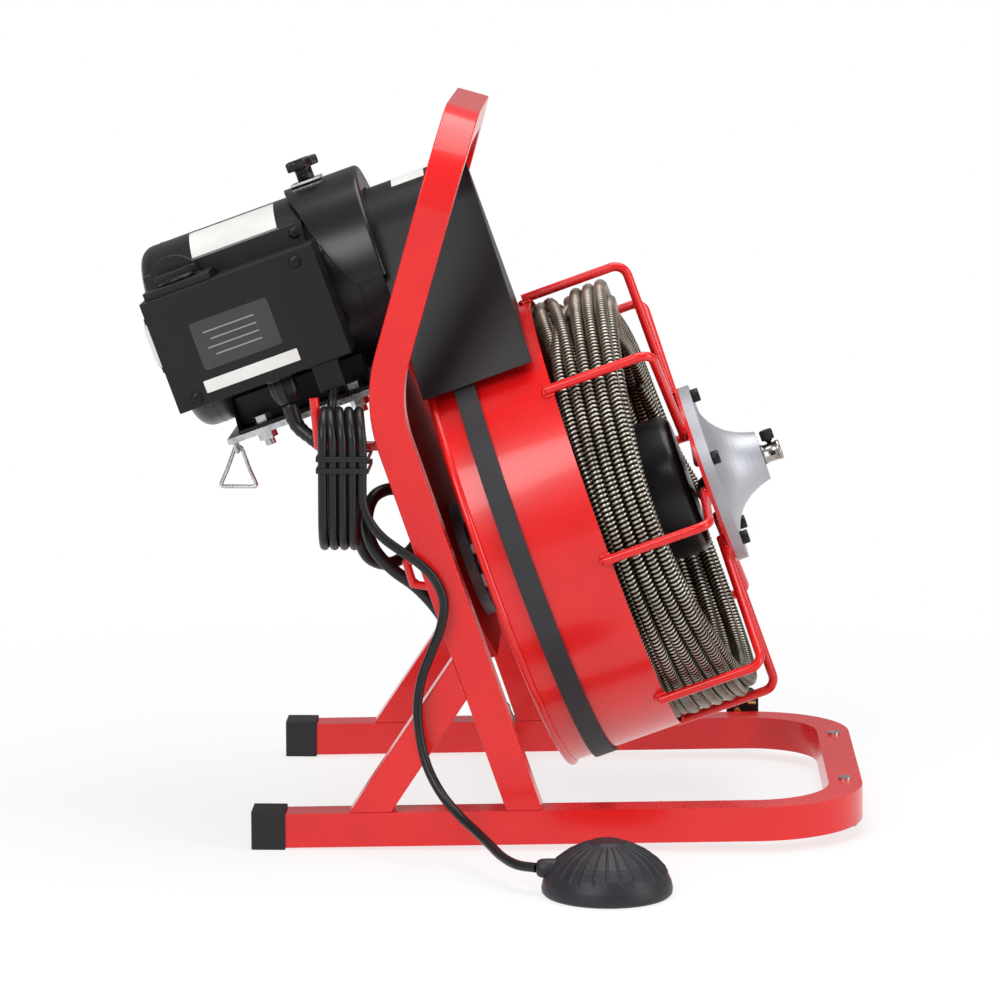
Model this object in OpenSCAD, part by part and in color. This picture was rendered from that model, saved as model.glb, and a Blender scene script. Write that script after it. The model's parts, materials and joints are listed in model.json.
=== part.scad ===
// Drum drain cleaner on a bent square-tube frame, with its motor, belt drive, cable drum,
// control box, foot pedal and mains lead. Millimetres, +Z up, nose towards +X.
// The drum axis leans nose-up. Most parts are placed along it: s runs along the axis from the
// drum's front rim, y across the machine, v square to both and upwards.

/* [Frame] */
// Side of the square frame tube
tube = 25.4; // [24:0.1:26]
// Wall of the frame tube
tube_wall = 2; // [1.5:0.1:3]
// Outer width of the frame
frame_w = 350; // [346:1:356]
// Length of the base over the front bar
base_l = 453; // [445:1:465]
// Outer radius of the front corners of the base
base_corner_r = 82; // [60:1:95]
// Nose-up tilt of the base in degrees
base_tilt = 1.2; // [1:0.1:1.4]
// Backward lean of the legs in degrees
leg_lean = 19.3; // [19:0.1:20]
// Forward lean of the handle in degrees
handle_lean = 15.6; // [14:0.1:17]
// Centre-line height of the handle bar
handle_z = 530; // [525:1:545]
// Forward lean of the rear braces in degrees
brace_lean = 33.4; // [32:0.1:35]

/* [Drum] */
// Nose-up tilt of the drum axis in degrees
drum_tilt = 20; // [19:0.5:21]
// Outer radius of the drum shell
drum_r = 173; // [171:0.5:174]
// Depth of the drum shell
drum_depth = 91; // [88:1:91]
// Number of cage rods
rod_count = 8; // [6:1:10]
// Diameter of the cage rods
rod_d = 7; // [7:0.5:8]
// Reach of the cage in front of the shell
cage_reach = 80; // [80:1:84]
// Radius of the inner drum
inner_r = 54.5; // [45:0.5:55]
// Diameter of the drain cable
cable_d = 9.5; // [8:0.5:9.5]

/* [Motor] */
// Height of the motor axis above the drum axis
motor_v = 237; // [236:0.5:240]
// Outer radius of the motor
motor_r = 72.5; // [70:0.5:72.5]
// Radius of the drive pulley
pulley_r = 24.7; // [22:0.1:26]
// Width of the flat belt
belt_w = 16; // [12:1:16]
// Thickness of the flat belt
belt_t = 3; // [2:0.5:3]

/* [Control box] */
// Length of the box
box_l = 135; // [130:1:135]
// Height of the box
box_h = 86; // [80:1:86]
// Near face of the lid
box_face = 125; // [120:1:125]

/* [Pedal and leads] */
// Radius of the foot pedal
pedal_r = 46.5; // [40:0.5:50]
// Height of the foot pedal
pedal_h = 40; // [36:1:44]
// Diameter of the mains lead
cord_d = 9.5; // [9:0.5:9.5]
// Diameter of the air hose
hose_d = 7; // [6:0.5:7]

/* [Hidden] */
$fn = 96;

// Gap of a sliding or turning fit, on the radius
fit = 0.05;
// Gap that keeps the belt off the two surfaces it drives
belt_gap = 0.3;
// Oversize of a cutting shape
cut = 1;
// Length that reaches right across the machine
far = 600;

// The origin is the middle of the footprint, the pedal included
shift_x = -1.35;
shift_y = 85.75;

// Frame
base_x = -177;
base_z = 0.9;
rail_y = frame_w / 2 - tube / 2;
bore = tube - 2 * tube_wall;
screw_x = 263.5;
screw_y = 82;
foot_r = 9;
screw_r = 2.5;
cap_l = 25;
cap_wall = 1.4;
bend_x = -82.6;
bend_z = 331.6;
bend_r = 108;
bend_turn = leg_lean + handle_lean;
bend_run = bend_r * tan(bend_turn / 2);
corner_r = 62;
handle_l = (handle_z - bend_z) / cos(handle_lean);
leg_l = 330;
brace_x = -89.6;
brace_z = 30;

// Drum axis and what carries it
axis_x = 82;
axis_z = 227;
web_front = -113;
web_t = 3;
flange_back = -123;
channel_half = frame_w / 2 - tube;
channel_top = 153;
barrel_r = 27;
bearing_r = 23.5;
spindle_r = 12.5;
housing_r = 45;
housing_bolts = [34, 12.4];
bolt_r = 4;
hex_r = 7.5;
hex_h = 5.5;
nut_h = 6;

// Drum
sheet = 1.5;
bead_r = 3;
rod_r = rod_d / 2;
cage_r = drum_r + rod_r - 0.2;
rod_bend = 10;
rod_first = 87;
rod_foot = -5;
hub_r = 70;
hub_hole = 46;
hub_front = 91;
cone_r = 52;
nose_r = 19;
nose_s = 127;
hub_bolt_pcr = 61;
lead_s = 74;
lead_bend = 40;
lead_angle = -110;
coil_in = 118;
coil_out = 163;
coil_back = -84;
coil_front = 60;
chuck_r = 7.7;
chuck_bore = 5;
chuck_l = 15;
chuck_screw_s = 135;

// Motor
motor_back = -269;
motor_front = -93;
rear_joint = -250;
front_joint = -112;
stator_s = [-215, -150];
stator_in = 40;
shaft_r = 7.5;
belt_s = -62;
knob_s = -128.6;
band_r = 78;
plate_v = 153;
plate_t = 4.5;
plate_half = 75;
plate_back = -246;
plate_bolt_s = [-217, -143];
plate_bolt_y = 62;
cradle_s = [-236, -128];
hood_s = [-93, -8];
hood_r = 58;
hood_foot = [120, 140];
hood_turn_r = 40;

// Control box
box_s = -265;
box_v = 192;
box_back = 77.5;
box_mid = 100;
lid_screws = [[-146, 269], [-249, 199]];
saddle_screw = [-143.6, 286.6];
gland_s = -189;
connector_s = -154;
switch_s = -235;

// Pull ring and its bail, in the upright plane through the plate's near edge
bail_y = -65;
bail_s = -242;
bail_v = 146;
wire_r = 1.5;
ring_r = 3.3;
ring_drop = 27;
ring_half = 14;

// Pedal and leads
pedal_x = 84;
pedal_y = -300;
rim_h = 24;
stub_z = 18;
hank_x = [-127, -91];
hank_y = -162;
hank_z = [222, 328];
hank_end_r = 25;
coil_x = 95;
coil_y = 265;
lay_r = 57;
plug_x = 180;
plug_y = 197;
blade_x = 201;

// Routes of the free leads
cord_route = [[-154, -100, 322], [-148, -101, 306], [-136, -107, 296], [-121, -113, 284],
    [-110, -117, 266], [-105, -119, 246], [-102, -117, 225], [-94, -108, 207], [-79, -94, 201],
    [-63, -84, 211], [-56, -84, 230], [-61, -93, 248], [-75, -106, 259], [-90, -118, 255],
    [-95, -127, 238], [-90, -131, 219], [-76, -132, 203], [-58, -134, 190], [-42, -137, 173],
    [-29, -140, 152], [-20, -141, 129], [-12, -141, 106], [-4, -141, 83], [4, -140, 60],
    [12, -136, 38], [17, -124, 18], [17, -106, 7], [16, -84, 5], [15, -60, 5], [14, -36, 5],
    [13, -12, 5], [12, 12, 5], [11, 36, 5], [10, 60, 5], [7, 84, 5], [3, 105, 8], [0, 122, 17],
    [-1, 136, 29], [-1, 149, 36.5], [-1, 162, 38], [-1, 175, 36.5], [0, 188, 29], [6, 200, 16],
    [20, 206, 8], [40, 208, 5], [58, 208, 5], [76, 208, 5]];
cord_tail = [[114, 208, 14], [134, 208, 13], [156, 211, 13], [180, 213, 13]];
hose_inlet = [[-121, -100, 334], [-122, -101, 322], [-123, -108, 312], [-123.5, -122, 307],
    [-123.5, -140, 310]];
hose_tail = [[-95, -183.5, 270], [-94, -184, 258], [-89, -185, 246], [-80, -185, 235],
    [-68, -185, 226], [-55, -184, 217], [-43, -183, 205], [-36, -183, 188], [-38, -183, 169],
    [-45, -183, 150],
    [-52, -184, 131], [-55, -186, 110], [-53, -190, 88], [-47, -197, 67], [-36, -207, 49],
    [-22, -221, 36], [-10, -238, 29], [0, -256, 24], [9, -274, 20], [20, -290, 18], [34, -299, 18]];

// ---- Helpers ----

module machine() {
    translate([shift_x, shift_y, 0])
        children();
}

// Drum axis frame: x is s, y is y, z is v
module on_axis() {
    machine()
        translate([axis_x, 0, axis_z])
            rotate([0, -drum_tilt, 0])
                children();
}

// Lays a shape that stands on z along s instead
module along_s(s = 0) {
    translate([s, 0, 0])
        rotate([0, 90, 0])
            children();
}

module on_motor() {
    on_axis()
        translate([0, 0, motor_v])
            children();
}

// Turned part: the outline is given as [radius, s]
module turned(outline) {
    along_s()
        rotate_extrude()
            polygon(outline);
}

module disc(r, s0, s1) {
    along_s(s0)
        cylinder(r = r, h = s1 - s0);
}

module ring(r_out, r_in, s0, s1) {
    difference() {
        disc(r_out, s0, s1);
        disc(r_in, s0 - cut, s1 + cut);
    }
}

// Extrudes a [y, v] outline from s0 to s1
module slab(s0, s1) {
    translate([s0, 0, 0])
        rotate([90, 0, 90])
            linear_extrude(s1 - s0)
                children();
}

module block(s, y, v) {
    translate([s[0], y[0], v[0]])
        cube([s[1] - s[0], y[1] - y[0], v[1] - v[0]]);
}

module rod(p, q, r) {
    d = q - p;
    l = norm(d);
    translate(p)
        rotate([0, acos(d[2] / l), atan2(d[1], d[0])])
            cylinder(r = r, h = l);
}

// Rod through a chain of points, with a ball a little larger than the rod at each inner one
module wire(points, r) {
    for (i = [1 : len(points) - 1])
        rod(points[i - 1], points[i], r);
    for (i = [1 : len(points) - 2])
        translate(points[i])
            sphere(r = 1.04 * r);
}

function arc(centre, r, a0, a1, n) =
    [for (i = [0 : n]) centre + r * [cos(a0 + (a1 - a0) * i / n), sin(a0 + (a1 - a0) * i / n)]];

function bezier(a, b, c, n) =
    [for (i = [0 : n]) let (t = i / n) (1 - t) * (1 - t) * a + 2 * t * (1 - t) * b + t * t * c];

function unit(v) = v / norm(v);

// Direction of a route at point i
function heading(p, i) = unit(p[min(i + 1, len(p) - 1)] - p[max(i - 1, 0)]);

// Plain tube swept along a route, one ring of corners at each point
module tube_along(route, d, sides = 8) {
    count = len(route);
    corners = [for (i = [0 : count - 1])
        let (t = heading(route, i), a = unit(cross(t, [0.3, 0.1, 1])), b = cross(t, a))
            for (k = [0 : sides - 1])
                route[i] + d / 2 * (cos(360 * k / sides) * a + sin(360 * k / sides) * b)];
    walls = [for (i = [0 : count - 2], k = [0 : sides - 1])
        let (m = (k + 1) % sides)
            [i * sides + k, i * sides + m, (i + 1) * sides + m, (i + 1) * sides + k]];
    start = [for (k = [0 : sides - 1]) sides - 1 - k];
    end = [for (k = [0 : sides - 1]) (count - 1) * sides + k];
    polyhedron(corners, concat([start], walls, [end]));
}

// ---- Frame ----

module on_base() {
    machine()
        translate([base_x, 0, base_z])
            rotate([0, -base_tilt, 0])
                children();
}

// Plan of the bent base, or of its bore, open towards the rear
module base_plan(half, front, r, rear) {
    translate([rear, -half])
        square([front - r - rear, 2 * half]);
    translate([rear, r - half])
        square([front - rear, 2 * (half - r)]);
    for (side = [-1, 1])
        translate([front - r, side * (half - r)])
            circle(r = r);
}

// Plan of a tube bent to a U, drawn at a depth of wall inside its skin
module bent_plan(wall, front, corner, rear) {
    half = frame_w / 2;
    difference() {
        base_plan(half - wall, front - wall, corner - wall, rear);
        base_plan(half - tube + wall, front - tube + wall, corner - tube + wall, rear - cut);
    }
}

module base_run(size, rear) {
    wall = (tube - size) / 2;
    translate([0, 0, wall])
        linear_extrude(size)
            bent_plan(wall, base_l, base_corner_r, rear);
}

module foot_screw_holes(r) {
    for (side = [-1, 1])
        translate([screw_x - base_x, side * screw_y, -10])
            cylinder(r = r, h = tube + 20);
}

module base_tube() {
    color("red")
        on_base()
            difference() {
                base_run(tube, 0);
                base_run(bore, -cut);
                foot_screw_holes(screw_r + fit);
            }
}

module rear_caps() {
    color("dimgray")
        difference() {
            for (side = [-1, 1])
                machine()
                    translate([base_x - cap_wall, side * rail_y - tube / 2 - cap_wall, 0])
                        cube([cap_l, tube + 2 * cap_wall, tube + 2 * cap_wall + 0.8]);
            on_base()
                translate([0, -far / 2, 0])
                    cube([far, far, tube]);
        }
    color("dimgray")
        cap_cheeks();
}

// Side walls of the caps, which the wide cut above removes
module cap_cheeks() {
    for (side = [-1, 1], edge = [-1, 1])
        machine()
            translate([base_x - cap_wall, side * rail_y + edge * (tube + cap_wall) / 2 - cap_wall / 2, 0])
                cube([cap_l, cap_wall, tube + 2 * cap_wall + 0.8]);
}

module front_feet() {
    color("dimgray")
        difference() {
            machine()
                for (side = [-1, 1])
                    translate([screw_x, side * screw_y, 0])
                        cylinder(r = foot_r, h = 14);
            on_base()
                translate([0, -far / 2, 0])
                    cube([far, far, tube]);
            on_base()
                translate([0, 0, -4])
                    intersection() {
                        foot_screw_holes(screw_r + fit);
                        translate([0, -far / 2, -2])
                            cube([far, far, far]);
                    }
        }
}

module foot_screws() {
    color("silver")
        on_base()
            for (side = [-1, 1])
                translate([screw_x - base_x, side * screw_y, 0]) {
                    translate([0, 0, tube])
                        cylinder(r = 5, h = 1.8);
                    translate([0, 0, -5])
                        cylinder(r = screw_r, h = tube + 5);
                }
}

module leg_frame(side, lean) {
    machine()
        translate([bend_x, side * rail_y, bend_z])
            rotate([0, lean, 0])
                children();
}

module square_run(size, z0, z1) {
    translate([-size / 2, -size / 2, z0])
        cube([size, size, z1 - z0]);
}

// Side view of everything in front of one face of a bent leg, off behind its centre line
module leg_side(off, low, high, reach) {
    centre = [bend_r, -bend_run];
    r = bend_r + off;
    top = centre + r * [-cos(bend_turn), sin(bend_turn)];
    end = top + high * [sin(bend_turn), cos(bend_turn)];
    polygon(concat([[-off, low]], arc(centre, r, 180, 180 - bend_turn, 12),
        [end, [reach, end[1]], [reach, low]]));
}

// Where the bent strip of the side view meets the bent plan of the handle
module upright_run(size, extra) {
    wall = (tube - size) / 2;
    intersection() {
        leg_frame(0, -leg_lean)
            rotate([90, 0, 0])
                translate([0, 0, -far / 2])
                    linear_extrude(far)
                        difference() {
                            leg_side(size / 2, -leg_l - extra, handle_l, 300);
                            leg_side(-size / 2, -leg_l - extra - cut, handle_l + 60, 400);
                        }
        leg_frame(0, handle_lean)
            rotate([0, -90, 0])
                translate([0, 0, -far])
                    linear_extrude(2 * far)
                        bent_plan(wall, handle_l + tube / 2, corner_r + tube / 2, -far);
    }
}

// Everything below the top face of the rails
module below_rails() {
    on_base()
        translate([-far, -far, tube - far])
            cube([2 * far, 2 * far, far]);
}

module upright_tube() {
    color("red")
        difference() {
            upright_run(tube, 0);
            upright_run(bore, 5);
            below_rails();
        }
}

module rear_braces() {
    color("red")
        difference() {
            for (side = [-1, 1])
                machine()
                    translate([brace_x, side * rail_y, brace_z])
                        rotate([0, brace_lean, 0])
                            difference() {
                                square_run(tube, -20, 150);
                                square_run(bore, -21, 151);
                            }
            below_rails();
            machine()
                translate([bend_x, 0, bend_z])
                    rotate([0, -leg_lean, 0])
                        translate([-tube / 2, -far, -far])
                            cube([far, 2 * far, 2 * far]);
        }
}

module channel_outline(inset) {
    w = channel_half;
    polygon([[-w, 4 + inset], [-50, inset - 70], [50, inset - 70], [w, 4 + inset],
        [w, 116 - inset], [75, channel_top - inset], [-75, channel_top - inset], [-w, 116 - inset]]);
}

module housing_bolt_places() {
    for (y = [-1, 1], v = [-1, 1])
        translate([0, y * housing_bolts[0], v * housing_bolts[1]])
            children();
}

module cross_channel() {
    color("darkred")
        on_axis()
            difference() {
                slab(flange_back, web_front)
                    channel_outline(0);
                slab(flange_back - cut, web_front - web_t)
                    channel_outline(web_t);
                disc(barrel_r + 0.3, flange_back, web_front + cut);
                housing_bolt_places()
                    disc(bolt_r + 0.2, flange_back, web_front + cut);
            }
}

module cord_hooks() {
    color("red")
        machine() {
            wire([[-131, -162, 334], [-127.6, -162, 299], [-83, -162, 299]], 3.5);
            wire([[-54, -162, 216], [-64, -162, 213], [-59, -162, 197], [-47, -162, 195]], 3);
        }
}

module bearing_housing() {
    color("gray")
        on_axis()
            difference() {
                union() {
                    disc(barrel_r, -127, -112);
                    disc(housing_r, web_front, -105);
                    disc(28, -106, -97);
                }
                disc(bearing_r, -126, -98);
                disc(18, -128, -96);
                housing_bolt_places()
                    disc(bolt_r + 0.2, -114, -104);
            }
}

module drum_bearings() {
    color("silver")
        on_axis() {
            ring(bearing_r - fit, spindle_r + fit, -126, -114);
            ring(bearing_r - fit, spindle_r + fit, -110, -98);
        }
}

// Bolt along z: its head stands on z = 0 and its nut is a separate piece below
module hex_bolt(grip) {
    cylinder(r = hex_r, h = hex_h, $fn = 6);
    translate([0, 0, -grip - nut_h - 5])
        cylinder(r = bolt_r, h = grip + nut_h + 5, $fn = 32);
    translate([0, 0, -grip - nut_h])
        difference() {
            cylinder(r = hex_r, h = nut_h, $fn = 6);
            translate([0, 0, -cut])
                cylinder(r = bolt_r + fit, h = nut_h + 2 * cut, $fn = 32);
        }
}

module plate_bolt_places() {
    for (s = plate_bolt_s, y = [-1, 1])
        translate([s, y * plate_bolt_y, 0])
            children();
}

module hex_bolts() {
    color("silver")
        on_axis() {
            housing_bolt_places()
                along_s(-105)
                    hex_bolt(11);
            plate_bolt_places()
                translate([0, 0, plate_v + plate_t + 3])
                    hex_bolt(plate_t + 3);
        }
}

// ---- Motor and its plate ----

module motor_plate() {
    color("silver")
        on_axis()
            difference() {
                block([plate_back, web_front], [-plate_half, plate_half], [plate_v, plate_v + plate_t]);
                plate_bolt_places()
                    translate([0, 0, plate_v - cut])
                        cylinder(r = bolt_r + 0.2, h = plate_t + 2 * cut);
            }
}

module cradle_end() {
    v0 = plate_v + plate_t;
    polygon([[-74, v0], [74, v0], [48, v0 + 26], [-48, v0 + 26]]);
}

module motor_cradle() {
    v0 = plate_v + plate_t;
    color("black")
        on_axis()
            difference() {
                union() {
                    block(cradle_s, [-74, 74], [v0, v0 + 3]);
                    for (side = [-1, 1])
                        block(cradle_s, [side * 46 - 2, side * 46 + 2], [v0, v0 + 26]);
                    slab(cradle_s[0], cradle_s[0] + 3)
                        cradle_end();
                    slab(cradle_s[1] - 3, cradle_s[1])
                        cradle_end();
                }
                translate([0, 0, motor_v])
                    disc(motor_r + 0.1, cradle_s[0] - cut, cradle_s[1] + cut);
                plate_bolt_places()
                    translate([0, 0, v0 - cut])
                        cylinder(r = bolt_r + 0.2, h = 3 + 2 * cut);
            }
}

module motor_housing() {
    color("black")
        on_motor()
            difference() {
                ring(motor_r, motor_r - 2.5, rear_joint, front_joint);
                translate([knob_s, 0, motor_r - 5])
                    cylinder(r = 3 + fit, h = 8);
            }
}

module motor_rear_cover() {
    edge = 12;
    outer = arc([motor_r - edge, motor_back + edge], edge, -90, 0, 10);
    inner = arc([motor_r - edge, motor_back + edge], edge - 3, 0, -90, 10);
    color("black")
        on_motor()
            difference() {
                union() {
                    turned(concat([[16, motor_back]], outer, [[motor_r, rear_joint], [motor_r - 3, rear_joint]],
                        inner, [[16, motor_back + 3]]));
                    ring(20, 16, motor_back, motor_back + 16);
                    disc(20, motor_back, motor_back + 5);
                    motor_screw_places()
                        disc(5, motor_back + 1, motor_back + 12);
                }
                motor_screw_places()
                    disc(2 + fit, motor_back - cut, motor_back + 11);
            }
}

module motor_screw_places() {
    for (a = [0, 90, 180, 270])
        rotate([a, 0, 0])
            translate([0, 0, 46])
                children();
}

module motor_front_cover() {
    color("black")
        on_motor()
            difference() {
                union() {
                    ring(motor_r, motor_r - 3, front_joint, motor_front);
                    ring(motor_r, shaft_r + 1, motor_front - 3, motor_front);
                    ring(20, 16, motor_front - 16, motor_front);
                }
            }
}

module stator() {
    color("orange")
        on_motor()
            ring(motor_r - 2.6, stator_in, stator_s[0], stator_s[1]);
}

module motor_bearings() {
    color("silver")
        on_motor() {
            ring(16 - fit, shaft_r + fit, motor_back + 6, motor_back + 15);
            ring(16 - fit, shaft_r + fit, motor_front - 15, motor_front - 6);
        }
}

// Cross-head screw along s, head outwards at -s
module cover_screw() {
    disc(4.2, -2.2, 0);
    disc(2, -1, 10);
}

module lid_screw_places() {
    for (p = lid_screws)
        translate([p[0], -box_face, p[1]])
            rotate([0, 0, 90])
                children();
}

module cover_screws() {
    color("dimgray") {
        on_motor()
            motor_screw_places()
                translate([motor_back, 0, 0])
                    cover_screw();
        on_axis() {
            lid_screw_places()
                cover_screw();
            translate([saddle_screw[0], -box_back, saddle_screw[1]])
                rotate([0, 0, 90])
                    cover_screw();
        }
    }
}

// Hood outline: an arch round the motor axis with flat sides down to its feet
module hood_outline(inset, drop) {
    d = [hood_foot[0], hood_foot[1] - motor_v];
    a = atan2(d[1], d[0]) + acos(hood_r / norm(d));
    n = [cos(a), sin(a)];
    top = [0, motor_v] + (hood_r - inset) * n;
    foot = hood_foot - inset * n + drop * [n[1], -n[0]];
    translate([0, motor_v])
        circle(r = hood_r - inset);
    polygon([[-top[0], top[1]], [-foot[0], foot[1]], foot, top]);
}

// Plan of the hood: square across on the near side, swept back on the far side
module hood_plan(inset) {
    back = hood_s[0] + inset;
    front = hood_s[1] - inset;
    sweep = arc([front - hood_turn_r, -30], hood_turn_r, 0, 25, 8);
    polygon(concat([[back, -200], [front, -200]], sweep, [[front - 14.5, 10], [front - 33.5, 200],
        [back, 200]]));
}

module hood_space(inset, drop) {
    intersection() {
        slab(hood_s[0] + inset, hood_s[1] - inset)
            hood_outline(inset, drop);
        linear_extrude(400)
            hood_plan(inset);
    }
}

module belt_guard() {
    color("black")
        on_axis()
            difference() {
                hood_space(0, 0);
                hood_space(sheet, 5);
                disc(drum_r + 5, hood_s[0] - cut, hood_s[1] + cut);
                translate([0, 0, motor_v])
                    disc(22, hood_s[0] - cut, hood_s[0] + 3);
            }
}

module guard_band() {
    color("black")
        on_motor()
            difference() {
                intersection() {
                    union() {
                        ring(band_r, band_r - sheet, -150, motor_front);
                        ring(band_r, motor_r + 0.1, motor_front - 3, motor_front);
                    }
                    rotate([90, 0, 0])
                        translate([0, 0, -100])
                            linear_extrude(200)
                                polygon([[motor_front, 100], [-148, 100], [-148, band_r], [-114.5, 0],
                                    [-105, -22], [motor_front, -22]]);
                }
                translate([knob_s, 0, 0])
                    cylinder(r = 3 + fit, h = 100);
            }
}

module band_plate() {
    color("silver")
        on_motor()
            difference() {
                block([-141, -117], [-12, 12], [band_r, band_r + 2]);
                translate([knob_s, 0, 0])
                    cylinder(r = 3 + fit, h = 100);
            }
}

module guard_knob() {
    color("black")
        on_motor()
            translate([knob_s, 0, 0]) {
                translate([0, 0, motor_r - 3])
                    cylinder(r = 3, h = band_r - motor_r + 6);
                translate([0, 0, band_r + 2.2])
                    cylinder(r = 6.5, h = 9.3);
                translate([0, 0, band_r + 11]) {
                    cylinder(r = 9.5, h = 7.6);
                    for (a = [0 : 72 : 288])
                        rotate([0, 0, a])
                            translate([8.5, 0, 0])
                                cylinder(r = 4, h = 7.6, $fn = 32);
                }
            }
}

module drive_belt_loop(r_drum, r_pulley) {
    a = acos((r_drum - r_pulley) / motor_v);
    circle(r = r_drum);
    translate([0, motor_v])
        circle(r = r_pulley);
    polygon([[-r_drum * sin(a), r_drum * cos(a)], [r_drum * sin(a), r_drum * cos(a)],
        [r_pulley * sin(a), motor_v + r_pulley * cos(a)],
        [-r_pulley * sin(a), motor_v + r_pulley * cos(a)]]);
}

module drive_belt() {
    color("dimgray")
        on_axis()
            slab(belt_s - belt_w / 2, belt_s + belt_w / 2)
                difference() {
                    drive_belt_loop(drum_r + belt_gap + belt_t, pulley_r + belt_gap + belt_t);
                    drive_belt_loop(drum_r + belt_gap, pulley_r + belt_gap);
                }
}

module motor_shaft() {
    color("silver")
        on_motor()
            disc(shaft_r, motor_back + 5.5, -49);
}

module rotor() {
    color("gray")
        on_motor()
            difference() {
                union() {
                    disc(stator_in - 0.5, stator_s[0], stator_s[1]);
                    disc(14, -238, stator_s[0]);
                    disc(56, -238, -235);
                    for (a = [0 : 40 : 320])
                        rotate([a, 0, 0])
                            block([-247, -237], [-1, 1], [22, 55]);
                }
                disc(shaft_r + 0.02, -250, -100);
            }
}

module drive_pulley() {
    half = belt_w / 2 + 1;
    color("gray")
        on_motor()
            difference() {
                union() {
                    disc(pulley_r, belt_s - half, belt_s + half);
                    disc(pulley_r + 4, belt_s - half - 3, belt_s - half);
                    disc(pulley_r + 4, belt_s + half, belt_s + half + 3);
                }
                disc(shaft_r + 0.02, -90, -40);
            }
}

// ---- Control box ----

module control_box() {
    s = [box_s, box_s + box_l];
    v = [box_v, box_v + box_h];
    color("black")
        on_axis()
            difference() {
                union() {
                    difference() {
                        block(s, [1.5 - box_face, -box_back], v);
                        block([s[0] + sheet, s[1] - sheet], [-box_face, -box_back - sheet],
                            [v[0] + sheet, v[1] - sheet]);
                    }
                    for (p = lid_screws)
                        translate([p[0], 1.5 - box_face, p[1]])
                            rotate([-90, 0, 0])
                                cylinder(r = 5, h = box_face - box_back - 2);
                }
                lid_screw_places()
                    disc(2 + fit, -1, 18);
                translate([gland_s, -box_mid, box_v - cut])
                    cylinder(r = 8.1, h = 4);
                translate([connector_s, -box_mid, box_v - cut])
                    cylinder(r = 4.1, h = 4);
                translate([switch_s, -box_mid, box_v + box_h - 3])
                    cylinder(r = 8.1, h = 5);
            }
}

module control_lid() {
    color("black")
        on_axis()
            difference() {
                block([box_s, box_s + box_l], [-box_face, 1.5 - box_face], [box_v, box_v + box_h]);
                lid_screw_places()
                    disc(2 + fit, -1, 5);
            }
}

module box_saddle() {
    color("black")
        on_axis()
            difference() {
                block([-262, -138], [-box_back, -40], [195, 293]);
                translate([0, 0, motor_v])
                    disc(motor_r + 0.1, -270, -130);
                translate([saddle_screw[0], -box_back, saddle_screw[1]])
                    rotate([0, 0, 90])
                        disc(2 + fit, -1, 12);
            }
}

module switch_base() {
    top = box_v + box_h;
    color("black")
        on_axis()
            difference() {
                union() {
                    block([-261, -209], [-118, -82], [top, top + 6]);
                    translate([switch_s - 4, -81, top + 4])
                        rotate([90, 0, 0])
                            cylinder(r = 20.5, h = 3);
                    translate([switch_s, -box_mid, top - 6])
                        cylinder(r = 8, h = 8);
                    block([-250, -220], [-115, -85], [top - 26, top - 2]);
                }
                block([-270, -200], [-90, -70], [top - 30, top]);
                translate([switch_s, -box_mid, top - 14])
                    cylinder(r = 3 + fit, h = 40);
            }
}

module switch_knob() {
    top = box_v + box_h;
    color("black")
        on_axis()
            translate([switch_s, -box_mid, top]) {
                translate([0, 0, -12])
                    cylinder(r = 3, h = 20);
                translate([0, 0, 6.3])
                    cylinder(r = 14, h = 3.4);
                translate([-16, -4, 9])
                    cube([32, 8, 5]);
            }
}

module capacitor() {
    color("silver")
        on_axis()
            translate([0, -box_mid, 237])
                disc(16, -205, -152);
}

module air_switch() {
    color("white")
        on_axis()
            block([-172, -136], [-115, -85], [box_v + sheet, 218]);
}

module rear_boot() {
    color("white")
        on_axis()
            slab(box_s - 6, box_s) {
                translate([-box_mid, 235])
                    circle(r = 11);
                translate([-box_mid, 254])
                    circle(r = 11);
                translate([-box_mid - 11, 235])
                    square([22, 19]);
            }
}

module cord_gland() {
    color("black")
        on_axis()
            translate([gland_s, -box_mid, 0]) {
                block([-10, 10], [-10, 10], [186, box_v]);
                translate([0, 0, 178])
                    cylinder(r = 9, h = 8);
                translate([0, 0, 170])
                    cylinder(r = 7, h = 9);
                translate([0, 0, 190])
                    cylinder(r = 8, h = 8);
            }
}

module hose_connector() {
    color("black")
        on_axis()
            translate([connector_s, -box_mid, 0]) {
                block([-13, 13], [-10, 10], [190, box_v]);
                block([-10, 10], [-6.5, 6.5], [170, 191]);
                translate([0, 0, 190])
                    cylinder(r = 4, h = 3.4);
            }
}

// ---- Pull ring ----

module at_bail() {
    on_axis()
        translate([bail_s, bail_y, bail_v])
            rotate([0, drum_tilt, 0])
                children();
}

module ring_bail() {
    rise = plate_v - bail_v;
    color("silver") {
        at_bail()
            wire([[0, -7, 0], [0, 7, 0]], wire_r);
        on_axis()
            for (side = [-7, 7])
                translate([bail_s, bail_y + side, bail_v]) {
                    sphere(r = wire_r);
                    cylinder(r = wire_r, h = rise);
                }
    }
}

// The ring's outline grown or shrunk from the middle of its wire
module ring_plan(grow) {
    circle(r = ring_r + grow);
    polygon([[-ring_r - grow, 0], [ring_r + grow, 0], [ring_half + grow, -ring_drop - grow],
        [-ring_half - grow, -ring_drop - grow]]);
}

module pull_ring() {
    color("silver")
        at_bail()
            rotate([90, 0, 0])
                translate([0, 0, -wire_r])
                    linear_extrude(2 * wire_r)
                        difference() {
                            ring_plan(wire_r);
                            ring_plan(-wire_r);
                        }
}

// ---- Drum ----

module drum_shell() {
    back = -drum_depth;
    bead = arc([drum_r, back + bead_r], bead_r, -90, 90, 12);
    color("red")
        on_axis()
            turned(concat([[spindle_r, back]], bead,
                [[drum_r, 0], [drum_r - sheet, 0], [drum_r - sheet, back + sheet], [spindle_r, back + sheet]]));
}

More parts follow.
